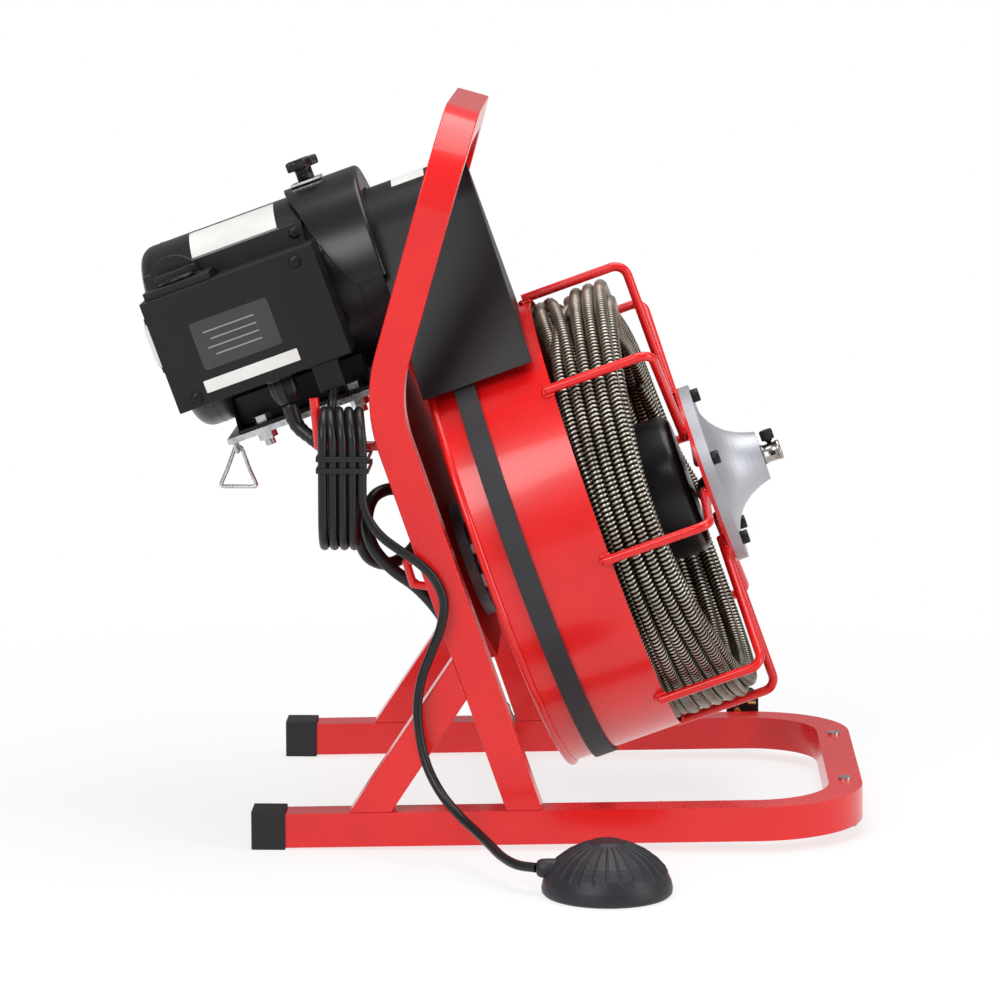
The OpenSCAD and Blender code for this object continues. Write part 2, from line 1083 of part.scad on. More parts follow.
// One cage rod at the top, from the shell's rim to the hub
module cage_rod() {
    turn_s = cage_reach - rod_r + 0.3 - rod_bend;
    translate([0, 0, cage_r])
        disc(rod_r, rod_foot, turn_s);
    translate([turn_s, 0, cage_r - rod_bend])
        rotate([90, 0, 0])
            rotate_extrude(angle = 90)
                translate([rod_bend, 0])
                    circle(r = rod_r);
    translate([turn_s + rod_bend, 0, 58])
        cylinder(r = rod_r, h = cage_r - rod_bend - 58);
}

module cage_rods() {
    color("red")
        on_axis()
            for (i = [0 : rod_count - 1])
                rotate([90 - rod_first + i * 360 / rod_count, 0, 0])
                    cage_rod($fn = 32);
}

module hub_plate() {
    color("red")
        on_axis()
            difference() {
                ring(hub_r, hub_hole, cage_reach, cage_reach + 3);
                hub_bolt_places()
                    disc(3 + fit, cage_reach - 1, cage_reach + 4);
            }
}

module hub_bolt_places() {
    for (i = [0 : 4])
        rotate([i * 72, 0, 0])
            translate([0, 0, hub_bolt_pcr])
                children();
}

module hub_cone() {
    back = cage_reach + 3;
    outer = bezier([cone_r, hub_front], [26, 96], [nose_r, nose_s], 12);
    inner = bezier([13, 118], [20, 92], [hub_hole, back], 12);
    bore_r = cable_d / 2 + 0.45;
    color("lightgray")
        on_axis()
            difference() {
                turned(concat([[hub_r, back], [hub_r, hub_front]], outer,
                    [[bore_r, nose_s], [bore_r, 118]], inner));
                hub_bolt_places()
                    disc(3 + fit, back - cut, hub_front + cut);
            }
}

module hub_bolts() {
    color("black")
        on_axis()
            hub_bolt_places() {
                disc(3, cage_reach + 0.5, hub_front + 1);
                along_s(hub_front)
                    cylinder(r = 5, h = 6.2, $fn = 32);
            }
}

module inner_drum() {
    back = sheet - drum_depth;
    front = 68;
    edge = 8;
    color("black")
        on_axis()
            turned(concat([[inner_r, back]], arc([inner_r - edge, front - edge], edge, 0, 90, 8),
                [[0, front], [0, front - sheet]],
                arc([inner_r - edge, front - edge], edge - sheet, 90, 0, 8), [[inner_r - sheet, back]]));
}

module cable_coil() {
    edge = 12;
    color("silver")
        on_axis()
            turned(concat(arc([coil_out - edge, coil_front - edge], edge, 0, 90, 6),
                arc([coil_in + edge, coil_front - edge], edge, 90, 180, 6),
                [[coil_in, coil_back], [coil_out, coil_back]]));
}

// The end of the cable: out of the coil, in along a radius and forward through the hub
module cable_lead() {
    start = 20;
    outer_r = 150;
    color("silver")
        on_axis()
            rotate([lead_angle, 0, 0]) {
                translate([lead_s - start, 0, outer_r - start])
                    rotate([90, 0, 0])
                        rotate_extrude(angle = 90)
                            translate([start, 0])
                                circle(r = cable_d / 2);
                translate([lead_s, 0, lead_bend])
                    cylinder(r = cable_d / 2, h = outer_r - start - lead_bend);
                translate([lead_s + lead_bend, 0, lead_bend])
                    rotate([90, 0, 0])
                        rotate([0, 0, 180])
                            rotate_extrude(angle = 90)
                                translate([lead_bend, 0])
                                    circle(r = cable_d / 2);
                disc(cable_d / 2, lead_s + lead_bend, nose_s - 0.1);
            }
}

module chuck() {
    color("silver")
        on_axis()
            difference() {
                disc(chuck_r, nose_s, nose_s + chuck_l);
                disc(chuck_bore, nose_s - cut, nose_s + chuck_l + cut);
                translate([chuck_screw_s, 0, 0])
                    cylinder(r = 1.9 + fit, h = 10, $fn = 32);
            }
}

module chuck_screw() {
    color("black")
        on_axis()
            translate([chuck_screw_s, 0, 0]) {
                translate([0, 0, chuck_bore + 0.4])
                    cylinder(r = 1.9, h = 8, $fn = 32);
                translate([0, 0, 12])
                    cylinder(r = 5, h = 8, $fn = 32);
            }
}

module spindle() {
    color("silver")
        on_axis() {
            disc(spindle_r, -137, -94);
            disc(34, -95, -drum_depth);
        }
}

module spindle_nut() {
    color("silver")
        on_axis()
            difference() {
                along_s(-137)
                    cylinder(r = 20, h = 9, $fn = 6);
                disc(spindle_r + fit, -140, -120);
            }
}

// ---- Pedal ----

module at_pedal() {
    machine()
        translate([pedal_x, pedal_y, 0])
            children();
}

module pedal_base() {
    color("black")
        at_pedal() {
            rotate_extrude()
                polygon([[0, 0], [pedal_r - 3, 0], [pedal_r, 4], [pedal_r, 12], [pedal_r - 4, rim_h], [0, rim_h]]);
            translate([-50, 0, stub_z])
                rotate([0, 90, 0])
                    cylinder(r = 5, h = 12);
        }
}

module pedal_dome() {
    rise = pedal_h - rim_h;
    foot = pedal_r - 5;
    r = (foot * foot + rise * rise) / (2 * rise);
    a = asin(foot / r);
    color("black")
        at_pedal()
            rotate_extrude()
                polygon(concat([[0, rim_h]], arc([0, pedal_h - r], r, 90 - a, 90, 16)));
}

// ---- Leads ----

module power_cord() {
    color("black")
        machine() {
            tube_along(cord_route, cord_d);
            tube_along(cord_tail, cord_d);
        }
}

module power_coil() {
    color("black")
        machine()
            translate([coil_x, coil_y, 0])
                rotate_extrude()
                    translate([lay_r - cord_d / 2, 0])
                        square([cord_d, 2 * cord_d]);
}

module plug() {
    color("black")
        machine()
            translate([plug_x, plug_y, 0])
                cube([46, 40, 68]);
}

module plug_blades() {
    color("goldenrod")
        machine() {
            for (z = [27.7, 40])
                translate([blade_x - 3.2, plug_y - 17, z - 0.8])
                    cube([6.4, 17, 1.6]);
            translate([blade_x - 11.9, plug_y - 20, 34])
                rotate([-90, 0, 0])
                    cylinder(r = 2.4, h = 20);
        }
}

module air_hose() {
    color("black")
        machine() {
            tube_along(hose_inlet, hose_d);
            tube_along(hose_tail, hose_d);
        }
}

module hose_hank() {
    color("black")
        machine()
            translate([hank_x[0], hank_y, 0])
                rotate([90, 0, 90])
                    linear_extrude(hank_x[1] - hank_x[0]) {
                        for (z = [hank_z[0] + hank_end_r, hank_z[1] - hank_end_r])
                            translate([0, z])
                                circle(r = hank_end_r);
                        translate([-hank_end_r, hank_z[0] + hank_end_r])
                            square([2 * hank_end_r, hank_z[1] - hank_z[0] - 2 * hank_end_r]);
                    }
}

module hank_ties() {
    color("black")
        machine()
            for (z = [282, 290.5])
                difference() {
                    translate([hank_x[0] - 1.2, hank_y - hank_end_r - 1.2, z])
                        cube([hank_x[1] - hank_x[0] + 2.4, 2 * hank_end_r + 2.4, 4]);
                    translate([hank_x[0], hank_y - hank_end_r, z - cut])
                        cube([hank_x[1] - hank_x[0], 2 * hank_end_r, 4 + 2 * cut]);
                }
}

base_tube();
rear_caps();
front_feet();
foot_screws();
upright_tube();
rear_braces();
cross_channel();
cord_hooks();
bearing_housing();
drum_bearings();
hex_bolts();
motor_plate();
motor_cradle();
motor_housing();
motor_rear_cover();
motor_front_cover();
stator();
motor_bearings();
cover_screws();
belt_guard();
guard_band();
band_plate();
control_box();
control_lid();
box_saddle();
switch_base();
capacitor();
air_switch();
rear_boot();
cord_gland();
hose_connector();
drive_belt();
ring_bail();
pedal_base();
drum_shell();
cage_rods();
hub_plate();
hub_cone();
hub_bolts();
inner_drum();
cable_coil();
cable_lead();
chuck();
spindle();
spindle_nut();
motor_shaft();
rotor();
drive_pulley();
switch_knob();
guard_knob();
chuck_screw();
pull_ring();
pedal_dome();
power_cord();
power_coil();
plug();
plug_blades();
air_hose();
hose_hank();
hank_ties();
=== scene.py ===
"""The looks of the drum drain cleaner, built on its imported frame. Metres, in the frame's own axes."""

import json
import math
import random

import bpy
import numpy as np
from mathutils import Matrix, Vector


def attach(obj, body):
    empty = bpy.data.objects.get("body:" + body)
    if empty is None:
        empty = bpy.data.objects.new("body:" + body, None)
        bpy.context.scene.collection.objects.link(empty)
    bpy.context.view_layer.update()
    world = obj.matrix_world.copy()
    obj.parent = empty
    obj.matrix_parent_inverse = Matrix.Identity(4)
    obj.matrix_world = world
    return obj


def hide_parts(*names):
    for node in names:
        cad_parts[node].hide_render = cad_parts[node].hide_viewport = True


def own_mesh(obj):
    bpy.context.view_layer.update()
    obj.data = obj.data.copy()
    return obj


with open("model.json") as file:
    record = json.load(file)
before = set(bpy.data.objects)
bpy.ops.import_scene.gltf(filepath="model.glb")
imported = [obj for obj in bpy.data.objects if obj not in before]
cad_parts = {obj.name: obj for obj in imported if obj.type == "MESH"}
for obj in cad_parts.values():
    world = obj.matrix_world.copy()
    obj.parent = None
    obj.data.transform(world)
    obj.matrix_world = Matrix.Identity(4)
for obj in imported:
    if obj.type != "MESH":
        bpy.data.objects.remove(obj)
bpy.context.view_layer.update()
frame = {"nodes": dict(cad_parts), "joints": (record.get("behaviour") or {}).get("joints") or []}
NODES = frame["nodes"]
MM = 0.001
TAU = 2 * math.pi

# ---- Where things are ----

# The drum axis: s runs along it from the shell's front rim, y across, v square to both and upwards
TILT = math.radians(20)
ALONG = Vector((math.cos(TILT), 0, math.sin(TILT)))
ACROSS = Vector((0, 1, 0))
EAST = Vector((1, 0, 0))
SKY = Vector((0, 0, 1))
UP = Vector((-math.sin(TILT), 0, math.cos(TILT)))
DRUM = Vector(next(j for j in frame["joints"] if j["name"] == "drum_spin")["pos_m"])
MACHINE = DRUM - Vector((82, 0, 227)) * MM
# The motor's axis above the drum's, its housing's radius, and the hood's at its crest
MOTOR_V = 237
MOTOR_R = 72.5
HOOD_R = 58


def machine(x, y, z):
    """A point of the machine, in millimetres from the middle of its base."""
    return MACHINE + Vector((x, y, z)) * MM


def at(s, y, v):
    """A point in the drum axis frame, in millimetres."""
    return DRUM + (ALONG * s + ACROSS * y + UP * v) * MM


def place(origin, x, y, z):
    """A matrix that puts a shape's own x, y and z along three directions."""
    turn = Matrix((x, y, z)).transposed().to_4x4()
    return Matrix.Translation(origin) @ turn


# Turned parts and screws are made standing on their own z
ALONG_S = (UP, -ACROSS, ALONG)
ALONG_V = (ALONG, ACROSS, UP)
TO_NEAR = (ALONG, UP, -ACROSS)


# ---- Materials ----


def srgb(r, g, b):
    """The linear colour of an 8-bit sRGB one."""
    parts = [c / 255 for c in (r, g, b)]
    return [c / 12.92 if c < 0.04045 else ((c + 0.055) / 1.055) ** 2.4 for c in parts]


class Shader:
    """A material's node tree, with its main shader ready to set."""

    def __init__(self, name):
        self.material = bpy.data.materials.new(name)
        self.material.use_nodes = True
        self.tree = self.material.node_tree
        self.main = self.tree.nodes["Principled BSDF"]
        self.coords = self.add("ShaderNodeTexCoord")

    def add(self, kind, **values):
        node = self.tree.nodes.new(kind)
        for name, value in values.items():
            setattr(node, name, value)
        return node

    def link(self, out, to):
        self.tree.links.new(out, to)

    def set(self, **values):
        for name, value in values.items():
            self.main.inputs[name.replace("_", " ")].default_value = value

    def noise(self, scale, detail=3, stretch=(1, 1, 1)):
        """Noise in the object's own space, scale in features a metre."""
        mapping = self.add("ShaderNodeMapping")
        mapping.inputs["Scale"].default_value = stretch
        self.link(self.coords.outputs["Object"], mapping.inputs["Vector"])
        noise = self.add("ShaderNodeTexNoise")
        noise.inputs["Scale"].default_value = scale
        noise.inputs["Detail"].default_value = detail
        self.link(mapping.outputs["Vector"], noise.inputs["Vector"])
        return noise.outputs["Fac"]

    def ramp(self, source, low, high, dark, light):
        """Two colours, blended where the source goes from low to high."""
        ramp = self.add("ShaderNodeValToRGB")
        ramp.color_ramp.elements[0].position = low
        ramp.color_ramp.elements[1].position = high
        ramp.color_ramp.elements[0].color = (*dark, 1)
        ramp.color_ramp.elements[1].color = (*light, 1)
        self.link(source, ramp.inputs["Fac"])
        return ramp.outputs["Color"]

    def spread(self, source, low, high):
        """The source's middle range, mapped to low and high."""
        spread = self.add("ShaderNodeMapRange")
        spread.inputs["From Min"].default_value = 0.3
        spread.inputs["From Max"].default_value = 0.7
        spread.inputs["To Min"].default_value = low
        spread.inputs["To Max"].default_value = high
        self.link(source, spread.inputs["Value"])
        return spread.outputs["Result"]

    def bump(self, source, strength, depth):
        bump = self.add("ShaderNodeBump")
        bump.inputs["Strength"].default_value = strength
        bump.inputs["Distance"].default_value = depth
        self.link(source, bump.inputs["Height"])
        self.link(bump.outputs["Normal"], self.main.inputs["Normal"])


def finish_of(name, dark, light, rough, grain, depth, mottle=18, stretch=(1, 1, 1), **values):
    """A surface with soft colour mottling, uneven roughness and a fine relief."""
    shader = Shader(name)
    broad = shader.noise(mottle, 4, stretch)
    fine = shader.noise(grain, 3, stretch)
    shader.link(shader.ramp(broad, 0.35, 0.65, dark, light), shader.main.inputs["Base Color"])
    shader.link(shader.spread(fine, *rough), shader.main.inputs["Roughness"])
    shader.bump(fine, 0.35, depth)
    shader.set(**values)
    return shader.material


def red_paint():
    return finish_of("red_paint", srgb(212, 16, 18), srgb(222, 22, 22), (0.24, 0.31), 900, 0.00004,
        Coat_Weight=0.35, Coat_Roughness=0.1, Specular_IOR_Level=0.4)


def shade_darkened_red():
    """A darker, duller red for the plate behind the drum; the darker colour is painted shade."""
    return finish_of("shade_darkened_red", srgb(190, 8, 14), srgb(204, 14, 18), (0.6, 0.7), 900, 0.00004,
        Specular_IOR_Level=0.06)


def black_paint():
    return finish_of("black_paint", srgb(9, 8, 11), srgb(15, 13, 18), (0.36, 0.46), 2200, 0.00006,
        Specular_IOR_Level=0.35)


def satin_black():
    return finish_of("satin_black", srgb(13, 12, 16), srgb(19, 18, 23), (0.26, 0.34), 1500, 0.00003,
        Specular_IOR_Level=0.42)


def black_oxide():
    return finish_of("black_oxide", srgb(20, 20, 22), srgb(34, 34, 38), (0.3, 0.42), 1800, 0.00004,
        Metallic=0.5)


def zinc():
    return finish_of("zinc", srgb(176, 178, 182), srgb(214, 214, 214), (0.22, 0.42), 700, 0.00003,
        mottle=160, Metallic=1.0)


def steel():
    return finish_of("steel", srgb(150, 146, 140), srgb(186, 184, 180), (0.22, 0.36), 500, 0.00003,
        stretch=(1, 6, 1), Metallic=1.0)


def iron():
    return finish_of("iron", srgb(96, 96, 100), srgb(136, 136, 140), (0.4, 0.6), 420, 0.0001,
        Metallic=0.9)


def copper_steel():
    return finish_of("winding", srgb(120, 60, 34), srgb(150, 82, 50), (0.4, 0.55), 300, 0.0002,
        Metallic=0.6)


def aluminium():
    return finish_of("aluminium", srgb(168, 169, 176), srgb(186, 187, 192), (0.44, 0.56), 1900, 0.0001,
        Metallic=0.7)


def brass():
    return finish_of("brass", srgb(190, 150, 84), srgb(212, 176, 112), (0.2, 0.32), 600, 0.00002,
        Metallic=1.0)


def rubber():
    return finish_of("rubber", srgb(24, 23, 27), srgb(34, 33, 38), (0.5, 0.66), 1400, 0.00012,
        Specular_IOR_Level=0.4)


def pedal_rubber():
    return finish_of("pedal_rubber", srgb(30, 28, 34), srgb(40, 38, 44), (0.42, 0.54), 1600, 0.0001,
        Specular_IOR_Level=0.4)


def cord_sheath():
    return finish_of("cord_sheath", srgb(12, 12, 14), srgb(20, 20, 23), (0.3, 0.42), 1200, 0.00004,
        Specular_IOR_Level=0.4)


def belt_fabric():
    return finish_of("belt_fabric", srgb(32, 31, 35), srgb(42, 41, 45), (0.6, 0.75), 900, 0.00016,
        stretch=(1, 3, 1))


def black_plastic():
    return finish_of("black_plastic", srgb(14, 13, 16), srgb(22, 21, 25), (0.3, 0.44), 2600, 0.00006,
        Specular_IOR_Level=0.4)


def white_plastic():
    return finish_of("white_plastic", srgb(222, 222, 222), srgb(236, 236, 236), (0.28, 0.4), 1600, 0.00003)


def pale_film():
    return finish_of("pale_film", srgb(216, 216, 212), srgb(232, 232, 228), (0.3, 0.42), 1600, 0.00002)


def grey_film():
    return finish_of("grey_film", srgb(132, 130, 132), srgb(146, 144, 146), (0.3, 0.4), 1600, 0.00002)


def dark_film():
    return finish_of("dark_film", srgb(48, 46, 50), srgb(58, 56, 60), (0.3, 0.4), 1600, 0.00002)


def spring_wire():
    """Bright oiled wire, with painted shade darkening the grooves between its turns."""
    shader = Shader("spring_wire")
    groove = shader.add("ShaderNodeAttribute", attribute_name="groove")
    stain = shader.noise(26, 4)
    crest = shader.ramp(stain, 0.35, 0.7, srgb(164, 154, 138), srgb(216, 210, 196))
    # How deep into the groove the painted shade sets in
    gap = shader.add("ShaderNodeMapRange", interpolation_type="SMOOTHSTEP")
    gap.inputs["From Min"].default_value = 0.12
    gap.inputs["From Max"].default_value = 0.6
    shader.link(groove.outputs["Fac"], gap.inputs["Value"])
    mix = shader.add("ShaderNodeMix", data_type="RGBA")
    shader.link(gap.outputs["Result"], mix.inputs["Factor"])
    shader.link(crest, mix.inputs[6])
    # Near-black painted shade in the grooves between the turns
    mix.inputs[7].default_value = (*srgb(14, 12, 10), 1)
    shader.link(mix.outputs[2], shader.main.inputs["Base Color"])
    shader.link(shader.spread(shader.noise(420), 0.28, 0.42), shader.main.inputs["Roughness"])
    shader.bump(shader.noise(900), 0.3, 0.00004)
    shader.set(Metallic=0.85)
    return shader.material


MAT = {
    "red": red_paint(),
    # Red darkened with painted shade, for the plate behind the drum
    "shade_darkened": shade_darkened_red(),
    "black": black_paint(),
    "satin": satin_black(),
    "oxide": black_oxide(),
    "zinc": zinc(),
    "steel": steel(),
    "iron": iron(),
    "winding": copper_steel(),
    "aluminium": aluminium(),
    "brass": brass(),
    "rubber": rubber(),
    "pedal": pedal_rubber(),
    "sheath": cord_sheath(),
    "belt": belt_fabric(),
    "plastic": black_plastic(),
    "white": white_plastic(),
    "pale": pale_film(),
    "grey": grey_film(),
    "dark": dark_film(),
    "wire": spring_wire(),
}


# ---- Stage, lights and camera ----


def plane(name, size, origin, material):
    half = size / 2
    mesh = bpy.data.meshes.new(name)
    corners = [(-half, -half, 0), (half, -half, 0), (half, half, 0), (-half, half, 0)]
    mesh.from_pydata(corners, [], [(0, 1, 2, 3)])
    mesh.materials.append(material)
    item = bpy.data.objects.new(name, mesh)
    item.location = origin
    bpy.context.scene.collection.objects.link(item)
    return item


def floor():
    """White ground that fades to a glow away from the machine, so its far edge has no line."""
    shader = Shader("floor_white")
    shader.link(shader.ramp(shader.noise(2), 0.3, 0.7, (0.9, 0.9, 0.9), (0.92, 0.92, 0.92)),
        shader.main.inputs["Base Color"])
    shader.set(Roughness=0.65)
    far = shader.add("ShaderNodeVectorMath", operation="LENGTH")
    shader.link(shader.coords.outputs["Object"], far.inputs[0])
    fade = shader.add("ShaderNodeMapRange", interpolation_type="SMOOTHSTEP")
    fade.inputs["From Min"].default_value = 0.35
    fade.inputs["From Max"].default_value = 0.95
    fade.inputs["To Min"].default_value = 0.75
    shader.link(far.outputs["Value"], fade.inputs["Value"])
    white = shader.add("ShaderNodeEmission")
    blend = shader.add("ShaderNodeMixShader")
    shader.link(fade.outputs["Result"], blend.inputs["Fac"])
    shader.link(shader.main.outputs["BSDF"], blend.inputs[1])
    shader.link(white.outputs["Emission"], blend.inputs[2])
    shader.link(blend.outputs["Shader"], shader.tree.nodes["Material Output"].inputs["Surface"])
    plane("floor", 60, (0, 0, 0), shader.material)


def studio():
    """Soft light from all sides, seen as plain white by the camera."""
    world = bpy.data.worlds.new("studio")
    bpy.context.scene.world = world
    world.use_nodes = True
    tree = world.node_tree
    soft = tree.nodes["Background"]
    soft.inputs["Color"].default_value = (0.97, 0.98, 1, 1)
    soft.inputs["Strength"].default_value = 0.33
    white = tree.nodes.new("ShaderNodeBackground")
    white.inputs["Color"].default_value = (1, 1, 1, 1)
    white.inputs["Strength"].default_value = 1
    mix = tree.nodes.new("ShaderNodeMixShader")
    tree.links.new(tree.nodes.new("ShaderNodeLightPath").outputs["Is Camera Ray"], mix.inputs["Fac"])
    tree.links.new(soft.outputs["Background"], mix.inputs[1])
    tree.links.new(white.outputs["Background"], mix.inputs[2])
    tree.links.new(mix.outputs["Shader"], tree.nodes["World Output"].inputs["Surface"])


def softbox(name, origin, aim, size, power):
    data = bpy.data.lights.new(name, "AREA")
    data.shape = "RECTANGLE"
    data.size, data.size_y = size
    data.energy = power
    lamp = bpy.data.objects.new(name, data)
    lamp.location = origin
    lamp.rotation_euler = (Vector(aim) - Vector(origin)).to_track_quat("-Z", "Y").to_euler()
    bpy.context.scene.collection.objects.link(lamp)


def lights():
    softbox("key", (-1.2, -2.2, 1.7), (0.05, 0.1, 0.25), (1.2, 1.6), 40)
    softbox("top", (0.2, 0.2, 2.3), (0.05, 0.1, 0.2), (2, 1.6), 38)
    softbox("side", (1.9, -0.9, 0.9), (0.1, 0.1, 0.25), (0.7, 1.6), 18)


def camera():
    """A long lens from the near side, turned and dipped a little."""
    data = bpy.data.cameras.new("camera")
    data.lens = 149.4
    data.sensor_width = 36
    data.clip_end = 50
    item = bpy.data.objects.new("camera", data)
    item.location = (0.08675, -3.06855, 0.7176)
    turn, dip = math.radians(1.6), math.radians(8.7)
    ahead = Vector((-math.sin(turn) * math.cos(dip), math.cos(turn) * math.cos(dip), -math.sin(dip)))
    item.rotation_mode = "QUATERNION"
    item.rotation_quaternion = ahead.to_track_quat("-Z", "Y")
    bpy.context.scene.collection.objects.link(item)
    bpy.context.scene.camera = item


# ---- Making pieces ----


def piece(name, points, faces, material, body, smooth=True):
    mesh = bpy.data.meshes.new(name)
    mesh.from_pydata([tuple(p) for p in points], [], faces)
    mesh.materials.append(MAT[material])
    mesh.polygons.foreach_set("use_smooth", [smooth] * len(mesh.polygons))
    mesh.update()
    item = bpy.data.objects.new(name, mesh)
    bpy.context.scene.collection.objects.link(item)
    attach(item, body)
    return item


def round_edges(item, width, segments=3, angle=40):
    """Welds the mesh's split corners, rounds its sharp edges and keeps its flats flat."""
    weld = item.modifiers.new("weld", "WELD")
    weld.merge_threshold = 0.00002
    flat = item.modifiers.new("flat", "DECIMATE")
    flat.decimate_type = "DISSOLVE"
    flat.angle_limit = math.radians(0.5)
    bevel = item.modifiers.new("bevel", "BEVEL")
    bevel.width = width
    bevel.segments = segments
    bevel.limit_method = "ANGLE"
    bevel.angle_limit = math.radians(angle)
    bevel.use_clamp_overlap = True
    weighted = item.modifiers.new("weighted", "WEIGHTED_NORMAL")
    weighted.keep_sharp = False


def skin(rows, count):
    """Faces over rows of count points each, with a cap at both ends."""
    faces = []
    for i in range(rows - 1):
        for k in range(count):
            m = (k + 1) % count
            faces.append((i * count + k, i * count + m, (i + 1) * count + m, (i + 1) * count + k))
    faces.append(tuple(reversed(range(count))))
    faces.append(tuple(range((rows - 1) * count, rows * count)))
    return faces


def ring_round(p, side, lift, r, sides):
    """Points round p in the plane of side and lift, r in millimetres."""
    return [p + (side * math.cos(TAU * k / sides) + lift * math.sin(TAU * k / sides)) * r * MM
        for k in range(sides)]


class Build:
    """Collects shapes, each given in its own space in millimetres, into one mesh."""

    def __init__(self):
        self.points = []
        self.faces = []

    def add(self, points, faces, matrix):
        start = len(self.points)
        self.points += [matrix @ (Vector(p) * MM) for p in points]
        self.faces += [tuple(i + start for i in face) for face in faces]

    def turn(self, outline, matrix, sides=64, lobes=None):
        """A closed turned shape: outline is [radius, z] from the lower middle to the upper middle."""
        points = []
        for r, z in outline:
            for k in range(sides):
                a = TAU * k / sides
                grow = lobes(a, r) if lobes else 0
                points.append(((r + grow) * math.cos(a), (r + grow) * math.sin(a), z))
        self.add(points, skin(len(outline), sides), matrix)

    def loft(self, sections, matrix):
        """A closed shape through outlines of the same number of points, each at its own height."""
        points = [(x, y, z) for outline, z in sections for x, y in outline]
        self.add(points, skin(len(sections), len(sections[0][0])), matrix)

    def prism(self, outline, z0, z1, matrix):
        self.loft([(outline, z0), (outline, z1)], matrix)

    def box(self, low, high, matrix):
        outline = [(low[0], low[1]), (high[0], low[1]), (high[0], high[1]), (low[0], high[1])]
        self.prism(outline, low[2], high[2], matrix)

    def object(self, name, material, body, slot, smooth=True):
        return piece(name, self.points, self.faces, material, body, smooth)


def rounded_outline(half_x, half_y, r, steps=6):
    """A rectangle with round corners, about its middle."""
    out = []
    for i, (sx, sy) in enumerate([(1, 1), (-1, 1), (-1, -1), (1, -1)]):
        for k in range(steps + 1):
            a = math.radians(90 * i + 90 * k / steps)
            out.append((sx * (half_x - r) + r * math.cos(a), sy * (half_y - r) + r * math.sin(a)))
    return out


# ---- Free leads ----


def spline(chain, steps=6):
    """Catmull-Rom points between the inner knots of a chain of vectors."""
    out = []
    for a, b, c, d in zip(chain, chain[1:], chain[2:], chain[3:]):
        for k in range(steps):
            t = k / steps
            out.append(0.5 * (2 * b + (c - a) * t + (2 * a - 5 * b + 4 * c - d) * t * t
                + (3 * b - a - 3 * c + d) * t ** 3))
    return out


def smooth_path(points, steps=6):
    """A curve through the points from the first to the last."""
    chain = [2 * points[0] - points[1], *points, 2 * points[-1] - points[-2]]
    return [*spline(chain, steps), points[-1]]


def lead(name, points, diameter, body):
    """A round lead as a curve of one open spline along the points."""
    data = bpy.data.curves.new(name, "CURVE")
    data.dimensions = "3D"
    data.bevel_depth = diameter / 2
    data.bevel_resolution = 4
    data.use_fill_caps = True
    spline = data.splines.new("POLY")
    spline.points.add(len(points) - 1)
    for knot, p in zip(spline.points, points):
        knot.co = (*p, 1)
    spline.use_smooth = True
    data.materials.append(MAT["sheath"])
    item = bpy.data.objects.new(name, data)
    bpy.context.scene.collection.objects.link(item)
    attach(item, body)
    return item


CORD_D = 9.5
BOOT_STEPS = 14
CORD_ROUTE = [
    (-154, -100, 322), (-148, -101, 306), (-136, -107, 296), (-121, -113, 284), (-110, -117, 266),
    (-105, -119, 246), (-102, -117, 225), (-94, -108, 207), (-79, -94, 201), (-63, -84, 211),
    (-56, -84, 230), (-61, -93, 248), (-75, -106, 259), (-90, -118, 255), (-95, -127, 238),
    (-90, -131, 219), (-76, -132, 203), (-58, -134, 190), (-42, -137, 173), (-29, -140, 152),
    (-20, -141, 129), (-12, -141, 106), (-4, -141, 83), (4, -140, 60), (12, -136, 38),
    (17, -124, 18), (17, -106, 7), (16, -84, 5), (15, -60, 5), (14, -36, 5), (13, -12, 5),
    (12, 12, 5), (11, 36, 5), (10, 60, 5), (7, 84, 5), (3, 105, 8), (0, 122, 17), (-1, 136, 29),
    (-1, 149, 36.5), (-1, 162, 38), (-1, 175, 36.5), (0, 188, 29), (6, 200, 16), (20, 206, 8),
    (40, 208, 5), (58, 208, 5), (76, 208, 5)]
CORD_TAIL = [(114, 208, 14), (134, 208, 13), (156, 211, 13), (180, 213, 13), (188, 213, 13)]
COIL_MIDDLE = (95, 265)
COIL_LAY = 57
# The plug's cable end: x and z at the middle of its body, y at its rear face
PLUG_END = (194, 236.4, 22.2)
PLUG_COLLAR = (190, 213, 13)


def coil_points():
    """Two turns, the second lying on the first, entered and left on the side towards the machine."""
    out = []
    for k in range(1, 48):
        turn = k / 24
        a = -math.pi / 2 + TAU * turn
        rise = min(1, max(0, (turn - 0.62) / 0.36))
        z = CORD_D * (0.5 + rise * rise * (3 - 2 * rise))
        out.append((COIL_MIDDLE[0] + COIL_LAY * math.cos(a), COIL_MIDDLE[1] + COIL_LAY * math.sin(a), z))
    return out


def plug():
    """Moulded plug body on its back, with a ribbed grip and a collar; its two flat blades over a round pin
    stay the imported ones.
    """
    sheath = Build()
    sections = [(0, 9.5, 18, 6), (5, 12, 21, 6), (13, 12.6, 21.6, 6), (15, 11.6, 20.6, 6),
        (17, 11.6, 20.6, 6), (19, 12.6, 21.6, 6), (21, 12.6, 21.6, 6), (23, 11.6, 20.6, 6),
        (25, 11.6, 20.6, 6), (27, 12.6, 21.6, 6), (34, 13, 22, 6), (39, 13, 22, 5)]
    grip = [(rounded_outline(half_x, half_z, r), depth) for depth, half_x, half_z, r in sections]
    sheath.loft(grip, place(machine(*PLUG_END), EAST, SKY, -ACROSS))
    collar = [(5, -2), (8.6, 0), (8.4, 6), (7.9, 9), (7.1, 9.5), (7, 11), (7.6, 11.5), (7.2, 14.5),
        (6.5, 15), (6.4, 16.5), (7, 17), (6.6, 20), (5, 20.6)]
    sheath.turn(collar, place(machine(*PLUG_COLLAR), ACROSS, SKY, -EAST), 40)
    body = sheath.object("plug_body", "plastic", "frame", "black_plastic")
    round_edges(body, 0.0012, 3, 50)
    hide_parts("plug")
    return body


